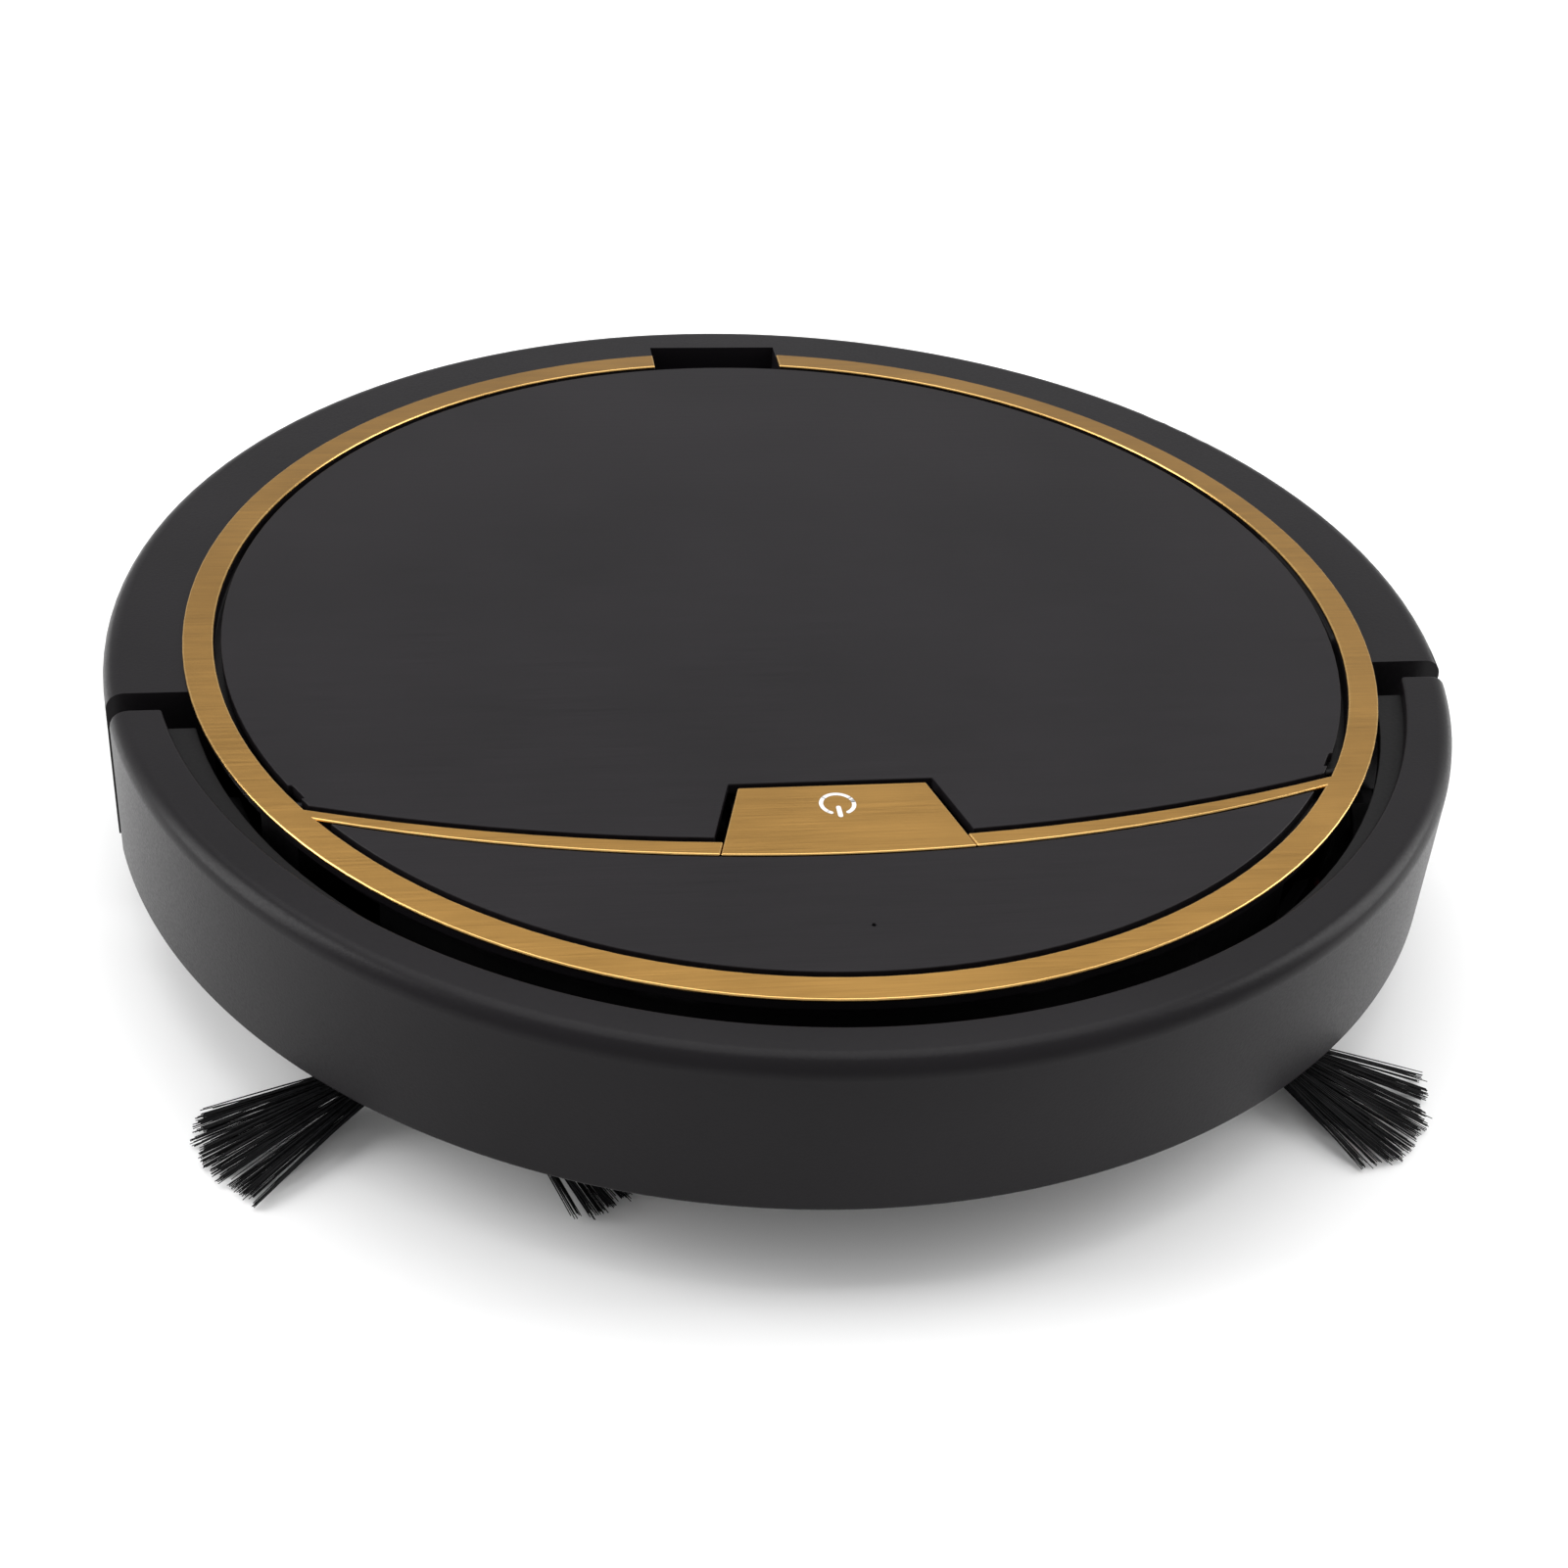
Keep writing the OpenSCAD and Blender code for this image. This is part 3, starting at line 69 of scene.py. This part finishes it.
class Tree:
    """A material's node tree with short calls for the nodes used here."""

    def __init__(self, name):
        self.material = bpy.data.materials.new(name)
        self.material.use_nodes = True
        self.nodes = self.material.node_tree.nodes
        self.links = self.material.node_tree.links
        self.shader = self.nodes["Principled BSDF"]
        self.place = self.nodes.new("ShaderNodeTexCoord").outputs["Object"]

    def set(self, **values):
        for name, value in values.items():
            self.shader.inputs[name.replace("_", " ")].default_value = value
        return self

    def join(self, source, target):
        self.links.new(source, target)

    def scaled(self, x, y, z):
        """Object coordinates stretched along each axis."""
        node = self.nodes.new("ShaderNodeMapping")
        node.inputs["Scale"].default_value = (x, y, z)
        self.join(self.place, node.inputs["Vector"])
        return node.outputs["Vector"]

    def noise(self, vector, scale=1.0, detail=3.0, rough=0.5):
        node = self.nodes.new("ShaderNodeTexNoise")
        node.inputs["Scale"].default_value = scale
        node.inputs["Detail"].default_value = detail
        node.inputs["Roughness"].default_value = rough
        self.join(vector, node.inputs["Vector"])
        return node.outputs["Fac"]

    def cells(self, vector, scale):
        node = self.nodes.new("ShaderNodeTexVoronoi")
        node.inputs["Scale"].default_value = scale
        self.join(vector, node.inputs["Vector"])
        return node.outputs["Distance"]

    def between(self, fac, low, high, start=0.3, end=0.7):
        """fac from start to end becomes low to high."""
        node = self.nodes.new("ShaderNodeMapRange")
        for key, value in (("From Min", start), ("From Max", end), ("To Min", low), ("To Max", high)):
            node.inputs[key].default_value = value
        self.join(fac, node.inputs["Value"])
        return node.outputs["Result"]

    def mixed(self, fac, one, two):
        """A colour between one and two."""
        node = self.nodes.new("ShaderNodeMix")
        node.data_type = "RGBA"
        self.join(fac, node.inputs["Factor"])
        for socket, value in ((node.inputs["A"], one), (node.inputs["B"], two)):
            if isinstance(value, bpy.types.NodeSocket):
                self.join(value, socket)
            else:
                socket.default_value = (*value, 1.0)
        return node.outputs["Result"]

    def bumped(self, height, depth):
        """Relief up to depth, in metres."""
        node = self.nodes.new("ShaderNodeBump")
        node.inputs["Distance"].default_value = depth
        node.inputs["Strength"].default_value = 1.0
        self.join(height, node.inputs["Height"])
        self.join(node.outputs["Normal"], self.shader.inputs["Normal"])

    def colour(self, socket):
        self.join(socket, self.shader.inputs["Base Color"])

    def rough(self, socket):
        self.join(socket, self.shader.inputs["Roughness"])


def grained_plastic(name, dark, light, rough, grain=1800.0, depth=0.00002, gloss=0.3):
    """Moulded plastic: fine spark-eroded grain and slow changes of tone."""
    t = Tree(name).set(Specular_IOR_Level=gloss)
    slow = t.noise(t.place, 22.0, 2.0)
    fine = t.noise(t.place, grain, 2.0)
    t.colour(t.mixed(t.between(slow, 0.0, 1.0), dark, light))
    t.rough(t.between(fine, rough - 0.05, rough + 0.05))
    t.bumped(fine, depth)
    return t.material


def hairline_plastic(name, dark, light, rough, gloss=0.3):
    """Black film with fine hairlines across the machine."""
    t = Tree(name).set(Specular_IOR_Level=gloss)
    lines = t.noise(t.scaled(60.0, 4200.0, 60.0), 1.0, 4.0, 0.6)
    slow = t.noise(t.place, 18.0, 2.0)
    blend = t.nodes.new("ShaderNodeMath")
    blend.operation = "MULTIPLY_ADD"
    t.join(lines, blend.inputs[0])
    blend.inputs[1].default_value = 0.8
    t.join(t.between(slow, 0.0, 0.2), blend.inputs[2])
    t.colour(t.mixed(t.between(blend.outputs[0], 0.0, 1.0), dark, light))
    t.rough(t.between(lines, rough - 0.06, rough + 0.08))
    t.bumped(lines, 0.00001)
    return t.material


def brushed_metal(name, dark, light, rough, stretch=(50.0, 3500.0, 50.0), depth=0.000012):
    """Metal brushed along X, with slow stains."""
    t = Tree(name).set(Metallic=1.0)
    lines = t.noise(t.scaled(*stretch), 1.0, 4.0, 0.6)
    slow = t.noise(t.place, 30.0, 2.0)
    tone = t.nodes.new("ShaderNodeMath")
    tone.operation = "MULTIPLY_ADD"
    t.join(lines, tone.inputs[0])
    tone.inputs[1].default_value = 0.7
    t.join(t.between(slow, 0.0, 0.3), tone.inputs[2])
    t.colour(t.mixed(t.between(tone.outputs[0], 0.0, 1.0), dark, light))
    t.rough(t.between(lines, rough - 0.07, rough + 0.09))
    t.bumped(lines, depth)
    return t.material


def rubber(name, tone, rough=0.75):
    """Matte rubber or foam with fine grain."""
    t = Tree(name).set(Specular_IOR_Level=0.25)
    slow = t.noise(t.place, 70.0, 3.0)
    fine = t.noise(t.place, 2600.0, 2.0)
    t.colour(t.mixed(t.between(slow, 0.0, 1.0), tone, [1.7 * v for v in tone]))
    t.rough(t.between(fine, rough - 0.06, rough + 0.06))
    t.bumped(fine, 0.00003)
    return t.material


def tinted_clear(name, tone):
    """Smoke-tinted clear plastic with faint flow marks."""
    t = Tree(name).set(Transmission_Weight=0.75, IOR=1.49, Specular_IOR_Level=0.5)
    flow = t.noise(t.scaled(25.0, 25.0, 90.0), 1.0, 2.0)
    t.colour(t.mixed(t.between(flow, 0.0, 1.0), tone, [1.25 * v for v in tone]))
    t.rough(t.between(flow, 0.08, 0.16))
    t.bumped(flow, 0.00003)
    return t.material


def film(name, dark, light, rough):
    """Glossy film or solder mask with fine cells."""
    t = Tree(name).set(Specular_IOR_Level=0.5)
    spots = t.cells(t.place, 420.0)
    slow = t.noise(t.place, 120.0, 3.0)
    t.colour(t.mixed(t.between(slow, 0.0, 1.0), dark, light))
    t.rough(t.between(spots, rough - 0.05, rough + 0.08, 0.1, 0.8))
    t.bumped(slow, 0.00004)
    return t.material


def paper(name):
    """Filter paper with fibres and a little dust."""
    t = Tree(name).set(Specular_IOR_Level=0.15, Sheen_Weight=0.2)
    fibres = t.noise(t.scaled(900.0, 900.0, 260.0), 1.0, 5.0, 0.65)
    dust = t.noise(t.place, 60.0, 3.0)
    clean = t.mixed(t.between(fibres, 0.0, 1.0), (0.70, 0.70, 0.66), (0.86, 0.86, 0.83))
    t.colour(t.mixed(t.between(dust, 0.0, 0.25), clean, (0.55, 0.54, 0.50)))
    t.rough(t.between(fibres, 0.8, 0.95))
    t.bumped(fibres, 0.00006)
    return t.material


def nylon(name):
    """Bristle nylon: dark, slightly lighter towards some fibres."""
    t = Tree(name).set(Specular_IOR_Level=0.15)
    streak = t.noise(t.place, 900.0, 2.0)
    t.colour(t.mixed(t.between(streak, 0.0, 1.0), (0.003, 0.003, 0.0035), (0.009, 0.009, 0.010)))
    t.rough(t.between(streak, 0.38, 0.55))
    return t.material


def print_ink(name):
    """Screen-printed ink."""
    t = Tree(name).set(Specular_IOR_Level=0.4)
    mottle = t.noise(t.place, 3000.0, 3.0)
    t.colour(t.mixed(t.between(mottle, 0.0, 1.0), (0.56, 0.55, 0.54), (0.68, 0.67, 0.66)))
    t.rough(t.between(mottle, 0.42, 0.55))
    return t.material


SATIN_DARK, SATIN_LIGHT = (0.0060, 0.0053, 0.0062), (0.0082, 0.0072, 0.0085)
SATIN_GLOSS = 0.12

# One material for each slot of the record, and three that only the visual model has:
# panel_black, a lighter gold painted onto the gilded bevels as a highlight, and print_white.
MATERIALS = {
    "shell_black": grained_plastic("shell_black", SATIN_DARK, SATIN_LIGHT, 0.34, gloss=SATIN_GLOSS),
    "panel_black": hairline_plastic(
        "panel_black", (0.0066, 0.0058, 0.0068), (0.0118, 0.0103, 0.0120), 0.40, gloss=SATIN_GLOSS
    ),
    "inner_black": grained_plastic(
        "inner_black", (0.0050, 0.0048, 0.0052), (0.0075, 0.0072, 0.0078), 0.50, 1300.0,
        gloss=SATIN_GLOSS,
    ),
    "gold_trim": brushed_metal("gold_trim", (0.275, 0.152, 0.041), (0.370, 0.208, 0.058), 0.36),
    # Painted highlight: a lighter, glossier gold put on the bevels of the gilded parts to stand in for their
    # bright edge highlight.
    "gold_painted_highlight": brushed_metal(
        "gold_painted_highlight", (0.50, 0.30, 0.10), (0.62, 0.39, 0.14), 0.22, depth=0.000004
    ),
    "smoke_clear": tinted_clear("smoke_clear", (0.12, 0.125, 0.135)),
    "steel": brushed_metal("steel", (0.42, 0.42, 0.44), (0.60, 0.60, 0.62), 0.28),
    "black_steel": brushed_metal("black_steel", (0.012, 0.012, 0.013), (0.020, 0.020, 0.021), 0.42),
    "motor_can": brushed_metal(
        "motor_can", (0.34, 0.34, 0.35), (0.50, 0.50, 0.51), 0.34, (1500.0, 90.0, 90.0)
    ),
    "gear_pom": grained_plastic("gear_pom", (0.70, 0.67, 0.57), (0.80, 0.77, 0.68), 0.45, 900.0),
    "grey_plastic": grained_plastic("grey_plastic", (0.15, 0.15, 0.16), (0.21, 0.21, 0.22), 0.45),
    "rubber_black": rubber("rubber_black", (0.018, 0.018, 0.019)),
    "bristle_black": nylon("bristle_black"),
    "board_green": film("board_green", (0.015, 0.10, 0.05), (0.03, 0.15, 0.075), 0.30),
    "battery_wrap": film("battery_wrap", (0.02, 0.10, 0.28), (0.04, 0.15, 0.38), 0.28),
    "filter_paper": paper("filter_paper"),
    "sensor_red": film("sensor_red", (0.045, 0.006, 0.008), (0.08, 0.010, 0.012), 0.12),
    "foam_black": rubber("foam_black", (0.025, 0.025, 0.026), 0.85),
    "print_white": print_ink("print_white"),
}
PANELS = ("lid", "front_panel")


def material_for(node):
    """The record's material of a node, or its brushed finish on the two top panels."""
    return MATERIALS["panel_black" if node in PANELS else SLOT_OF[node]]


def dress(obj, material):
    obj.data.materials.clear()
    obj.data.materials.append(material)


# ---------------------------------------------------------------- mesh pieces


def to_object(bm, name, material, sharp=math.radians(35)):
    """A smooth-shaded object from bm, with edges kept sharp from the angle sharp on."""
    mesh = bpy.data.meshes.new(name)
    bmesh.ops.recalc_face_normals(bm, faces=bm.faces)
    bm.to_mesh(mesh)
    bm.free()
    for face in mesh.polygons:
        face.use_smooth = True
    mesh.set_sharp_from_angle(angle=sharp)
    obj = bpy.data.objects.new(name, mesh)
    bpy.context.scene.collection.objects.link(obj)
    dress(obj, material)
    return obj


def settle(obj, node=None, body=None):
    """Puts a finished piece on its body, in place of its CAD node if it has one."""
    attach(obj, body or BODY_OF[node])
    if node:
        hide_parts(node)
    return obj


def rounded(obj, width, segments=2, angle=28, sharp=35, clamp=False, bevel_highlight=None):
    """Bevels the edges of obj and lets its flat faces keep flat shading."""
    if width:
        bevel = obj.modifiers.new("rounding", "BEVEL")
        bevel.width = width
        bevel.segments = segments
        bevel.limit_method = "ANGLE"
        bevel.angle_limit = math.radians(angle)
        bevel.use_clamp_overlap = clamp
        # The bevels take the second material where one is given, which here is a painted highlight.
        if bevel_highlight:
            obj.data.materials.append(bevel_highlight)
            bevel.material = 1
        apply_modifiers(obj)
    for face in obj.data.polygons:
        face.use_smooth = True
    obj.data.set_sharp_from_angle(angle=math.radians(sharp))
    weighted = obj.modifiers.new("normals", "WEIGHTED_NORMAL")
    weighted.keep_sharp = True
    apply_modifiers(obj)
    return obj


def apply_modifiers(obj):
    """Writes the modified shape into the object's mesh."""
    bpy.context.view_layer.update()
    graph = bpy.context.evaluated_depsgraph_get()
    mesh = bpy.data.meshes.new_from_object(obj.evaluated_get(graph), depsgraph=graph)
    obj.modifiers.clear()
    obj.data = mesh


def refined(node, width, segments=2, angle=28, clamp=False, bevel_highlight=None):
    """The CAD node's shape again, welded, with its edges rounded as moulding leaves them."""
    bm = bmesh.new()
    bm.from_mesh(NODES[node].data)
    bmesh.ops.remove_doubles(bm, verts=bm.verts, dist=2e-6)
    bmesh.ops.dissolve_limit(
        bm, angle_limit=math.radians(0.6), verts=bm.verts, edges=bm.edges, delimit={"NORMAL"}
    )
    obj = to_object(bm, node + "_finished", material_for(node))
    return settle(rounded(obj, width, segments, angle, 35, clamp, bevel_highlight), node)


def filleted(corners, steps=5):
    """A closed outline with its corners (x, y, radius) rounded."""
    points = []
    for i, (x, y, radius) in enumerate(corners):
        corner = Vector((x, y))
        if not radius:
            points.append(corner)
            continue
        before = (Vector(corners[i - 1][:2]) - corner).normalized()
        after = (Vector(corners[(i + 1) % len(corners)][:2]) - corner).normalized()
        half = before.angle(after) / 2
        centre = corner + (before + after).normalized() * radius / math.sin(half)
        first = corner + before * radius / math.tan(half) - centre
        swing = first.angle_signed(corner + after * radius / math.tan(half) - centre)
        for k in range(steps + 1):
            a = -swing * k / steps
            points.append(centre + Vector((
                first.x * math.cos(a) - first.y * math.sin(a),
                first.x * math.sin(a) + first.y * math.cos(a),
            )))
    return points


def spun(outline, segments=288):
    """A closed outline (radius, height) turned about the middle of the body."""
    bm = bmesh.new()
    rings = []
    for i in range(segments):
        a = 2 * math.pi * i / segments
        rings.append([bm.verts.new((p.x * math.cos(a), p.x * math.sin(a), p.y)) for p in outline])
    for i in range(segments):
        near, far = rings[i], rings[(i + 1) % segments]
        for k in range(len(outline)):
            n = (k + 1) % len(outline)
            bm.faces.new((near[k], near[n], far[n], far[k]))
    return bm


def sliced(bm, at, away):
    """Cuts off everything beyond the plane through at, and closes the cut."""
    everything = bm.verts[:] + bm.edges[:] + bm.faces[:]
    cut = bmesh.ops.bisect_plane(bm, geom=everything, plane_co=at, plane_no=away, clear_outer=True)
    edges = [e for e in cut["geom_cut"] if isinstance(e, bmesh.types.BMEdge)]
    bmesh.ops.edgeloop_fill(bm, edges=edges)
    return bm


# ---------------------------------------------------------------- the visible body

# Width of the rounded edges in mm, on small pieces and then on the large panels
SMALL_EDGE = {
    "caster_fork": 0.3, "caster_wheel": 0.4, "battery_cover": 0.25, "mouth_lip": 0.2,
    "exhaust_grille": 0.12, "rocker_key": 0.2, "switch_frame": 0.15, "dc_jack": 0.12,
    "suction_duct": 0.2, "bin_cover": 0.2,
}
for side in ("right", "left"):
    SMALL_EDGE.update({
        side + "_tyre": 0.25, side + "_wheel_hub": 0.2, side + "_brush_hub": 0.35,
        side + "_gear_cover": 0.2, side + "_swing_arm": 0.2,
    })
PANEL_EDGE = {
    "base_plate": 0.0, "trim_frame": 0.32, "power_key": 0.3, "front_panel": 0.25, "lid": 0.25,
    "bumper_frame": 0.25, "top_shell": 0.0,
}
GILDED = ("trim_frame", "power_key")
for node, width in SMALL_EDGE.items():
    refined(node, width * MM, clamp=True)
for node, width in PANEL_EDGE.items():
    # The gilded parts get a lighter gold painted on their bevels as a highlight.
    refined(node, width * MM, bevel_highlight=MATERIALS["gold_painted_highlight"] if node in GILDED else None)


def add_bumper_springs():
    """The bumper's two springs, welded and smooth-shaded, with their own copy of the mesh."""
    springs = refined("bumper_springs", 0.0)
    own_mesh(springs)


def add_bumper():
    """The bumper's outer wall, turned as one smooth moulding and cut off at its two ends."""
    low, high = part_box("front_bumper")
    radius, wall, flange, flange_t = -low.y, 2.4 * MM, 10 * MM, 2.6 * MM
    shoulder, lip, inner_lip, inner_corner = 3.8 * MM, 0.7 * MM, 0.4 * MM, 0.5 * MM
    outline = filleted([
        (radius, low.z, lip),
        (radius, high.z, shoulder),
        (radius - flange, high.z, lip),
        (radius - flange, high.z - flange_t, inner_lip),
        (radius - wall, high.z - flange_t, inner_corner),
        (radius - wall, low.z, inner_lip),
    ])
    bm = sliced(spun(outline), (0, high.y, 0), (0, 1, 0))
    obj = to_object(bm, "front_bumper_finished", material_for("front_bumper"))
    settle(rounded(obj, 0.3 * MM, 3, 50), "front_bumper")


add_bumper()
add_bumper_springs()

# ---------------------------------------------------------------- power symbol


def prism(bm, outline, low, high):
    """A closed outline (x, y) given thickness from low to high."""
    under = [bm.verts.new((x, y, low)) for x, y in outline]
    over = [bm.verts.new((x, y, high)) for x, y in outline]
    bm.faces.new(under[::-1])
    bm.faces.new(over)
    for i in range(len(outline)):
        j = (i + 1) % len(outline)
        bm.faces.new((under[i], under[j], over[j], over[i]))


def arc(centre, radius, start, end, steps):
    """Points on an arc, angles in degrees."""
    turns = [math.radians(start + (end - start) * i / steps) for i in range(steps + 1)]
    return [(centre[0] + radius * math.cos(a), centre[1] + radius * math.sin(a)) for a in turns]


def add_symbol():
    """The generic power symbol printed on the key: a ring open towards the front, and a bar."""
    _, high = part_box("power_key")
    centre = (0.0, high.y - 6.2 * MM)
    outer, stroke, gap = 3.55 * MM, 0.8 * MM, 31.0
    bar_half, bar_inner, bar_outer = 0.47 * MM, 1.1 * MM, 3.75 * MM
    ink = 0.03 * MM
    base, top = high.z - 0.01 * MM, high.z + ink
    bm = bmesh.new()
    middle = outer - stroke / 2
    start, end = -90 + gap, 270 - gap
    steps = 48
    for i in range(steps):
        a = start + (end - start) * i / steps
        b = start + (end - start) * (i + 1) / steps
        prism(bm, arc(centre, outer, a, b, 1) + arc(centre, outer - stroke, b, a, 1), base, top)
    for end_turn, swing in ((start, 180.0), (end, 0.0)):
        a = math.radians(end_turn)
        tip = (centre[0] + middle * math.cos(a), centre[1] + middle * math.sin(a))
        prism(bm, arc(tip, stroke / 2, end_turn + swing, end_turn + swing + 180, 10), base, top)
    near, far = centre[1] - bar_inner, centre[1] - bar_outer
    bar = arc((0.0, near), bar_half, 0, 180, 10) + arc((0.0, far), bar_half, 180, 360, 10)
    prism(bm, bar, base, top)
    bmesh.ops.remove_doubles(bm, verts=bm.verts, dist=1e-7)
    settle(to_object(bm, "power_symbol", MATERIALS["print_white"]), body="key")


add_symbol()

# ---------------------------------------------------------------- bristles

BRISTLES_PER_FAN = 210
CLUMPS = 17
# Distances from the hub's axis to the roots and to the longest tips
ROOT_R, REACH = 13.5 * MM, 50.5 * MM
# Half the width and height of the bundle where it leaves the hub's arm
ROOT_HALF_W, ROOT_HALF_H = 2.9 * MM, 1.1 * MM
# How far a bristle leans with its clump, the rest being its own place in the fan
CLUMPING = 0.55
STRAY_SHARE = 0.06
POINTS = 7
TAPER = 0.45


def tube(bm, path, radii, sides=5):
    """A thin rod along path with its own radius at each point."""
    rings = []
    for i, point in enumerate(path):
        ahead = (path[min(i + 1, len(path) - 1)] - path[max(i - 1, 0)]).normalized()
        across = ahead.cross(Vector((0, 0, 1))).normalized()
        up = across.cross(ahead)
        rings.append([
            bm.verts.new(point + radii[i] * (math.cos(t) * across + math.sin(t) * up))
            for t in (2 * math.pi * k / sides for k in range(sides))
        ])
    for near, far in zip(rings, rings[1:]):
        for k in range(sides):
            n = (k + 1) % sides
            bm.faces.new((near[k], near[n], far[n], far[k]))
    bm.faces.new(rings[0][::-1])
    bm.faces.new(rings[-1])


def bristle_fan(bm, hub, turn, half, bend, rng):
    """One fan of nylon bristles: clumps that spread from the hub's arm down to the floor."""
    out = Vector((math.cos(turn), math.sin(turn), 0))
    across = Vector((-out.y, out.x, 0))
    leans = sorted(rng.uniform(-1, 1) * 0.12 + (2 * (c + 0.5) / CLUMPS - 1) for c in range(CLUMPS))
    lengths = [REACH * (1 - 0.03 * lean * lean) - rng.uniform(0, 2.6) * MM for lean in leans]
    for k in range(BRISTLES_PER_FAN):
        even = 2 * (k + 0.5) / BRISTLES_PER_FAN - 1
        c = min(int((even + 1) / 2 * CLUMPS), CLUMPS - 1)
        stray = 2.6 if rng.random() < STRAY_SHARE else 0.8
        lean = (1 - CLUMPING) * even + CLUMPING * leans[c] + rng.gauss(0, 1) * stray * 0.045
        side = even * ROOT_HALF_W + rng.uniform(-0.25, 0.25) * MM
        level = hub.z + rng.uniform(-1, 1) * ROOT_HALF_H
        tip_turn = turn + math.radians(bend + half * lean)
        length = lengths[c] - abs(rng.gauss(0, 0.9)) * MM
        root = Vector((hub.x, hub.y, level)) + ROOT_R * out + side * across
        tip = Vector((hub.x + length * math.cos(tip_turn), hub.y + length * math.sin(tip_turn), 0))
        tip.z = (0.6 + 1.5 * rng.random()) * MM
        knee = root.lerp(tip, 0.45) + out * 0.6 * MM
        knee.z = root.z * 0.62 + tip.z * 0.38
        steps = [i / (POINTS - 1) for i in range(POINTS)]
        path = [(1 - f) ** 2 * root + 2 * f * (1 - f) * knee + f * f * tip for f in steps]
        radius = rng.uniform(0.14, 0.19) * MM
        tube(bm, path, [radius * (1 - TAPER * f ** 3) for f in steps])


def add_bristles(side, turn, half, bends):
    """The fans of one side brush: where the first points, half a fan's spread, and each fan's bend."""
    node = side + "_bristles"
    low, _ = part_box(side + "_brush_hub")
    joint = joint_named(side + "_brush_spin")
    hub = Vector((joint["pos_m"][0], joint["pos_m"][1], low.z + 2.5 * MM))
    rng = random.Random(7 if side == "left" else 11)
    bm = bmesh.new()
    for i, bend in enumerate(bends):
        bristle_fan(bm, hub, math.radians(turn + 120 * i), half, bend, rng)
    settle(to_object(bm, node + "_strands", MATERIALS["bristle_black"], math.radians(80)), node)


add_bristles("left", 205.0, 17.0, (2.0, -9.0, 0.0))
add_bristles("right", 319.0, 20.0, (1.0, 3.0, -2.0))

# ---------------------------------------------------------------- carried-over nodes

for node, obj in NODES.items():
    dress(obj, material_for(node))

# ---------------------------------------------------------------- stage, light and camera

CAMERA_AT = Vector((-0.08293, -0.44012, 0.33042))
CAMERA_RIGHT = Vector((0.98737, -0.14434, 0.06532))
CAMERA_DOWN = Vector((-0.03156, -0.58319, -0.81172))
CAMERA_FORWARD = Vector((0.15526, 0.79940, -0.58038))
FLOOR_R = 6.0
WORLD_STRENGTH = 0.75


def add_camera():
    """The camera that was fitted to the photograph's ring, outline and crossbar."""
    data = bpy.data.cameras.new("camera")
    data.sensor_width = 36.0
    data.lens = 57.07
    data.clip_start = 0.01
    camera = bpy.data.objects.new("camera", data)
    bpy.context.scene.collection.objects.link(camera)
    turn = Matrix((CAMERA_RIGHT, -CAMERA_DOWN, -CAMERA_FORWARD)).transposed()
    camera.matrix_world = Matrix.Translation(CAMERA_AT) @ turn.to_4x4()
    bpy.context.scene.camera = camera


def add_area(name, at, toward, size, power):
    """A white rectangular light."""
    data = bpy.data.lights.new(name, "AREA")
    data.shape = "RECTANGLE"
    data.size, data.size_y = size
    data.energy = power
    light = bpy.data.objects.new(name, data)
    bpy.context.scene.collection.objects.link(light)
    light.location = at
    light.rotation_euler = (Vector(toward) - Vector(at)).to_track_quat("-Z", "Y").to_euler()


def add_floor():
    """A plain pale floor, wide enough to have no visible edge."""
    bm = bmesh.new()
    bmesh.ops.create_circle(bm, cap_ends=True, radius=FLOOR_R, segments=96)
    t = Tree("floor_pale").set(Specular_IOR_Level=0.1, Roughness=0.9)
    slow = t.noise(t.place, 3.0, 2.0)
    t.colour(t.mixed(t.between(slow, 0.0, 1.0), (0.86, 0.86, 0.86), (0.88, 0.88, 0.88)))
    floor = to_object(bm, "floor", t.material)


def add_world():
    """White surroundings, shown without a film curve so that they stay white."""
    bpy.context.scene.view_settings.view_transform = "Standard"
    world = bpy.data.worlds.new("studio")
    world.use_nodes = True
    background = world.node_tree.nodes["Background"]
    background.inputs["Color"].default_value = (1.0, 1.0, 1.0, 1.0)
    background.inputs["Strength"].default_value = WORLD_STRENGTH
    bpy.context.scene.world = world


add_camera()
add_world()
add_floor()
add_area("soft_top", (0.0, 0.25, 1.1), (0.0, 0.0, 0.0), (1.2, 1.0), 9.0)
add_area("soft_left", (-1.0, 0.1, 0.55), (0.0, 0.0, 0.02), (0.5, 0.9), 9.0)
add_area("soft_right", (1.0, 0.1, 0.55), (0.0, 0.0, 0.02), (0.5, 0.9), 7.0)
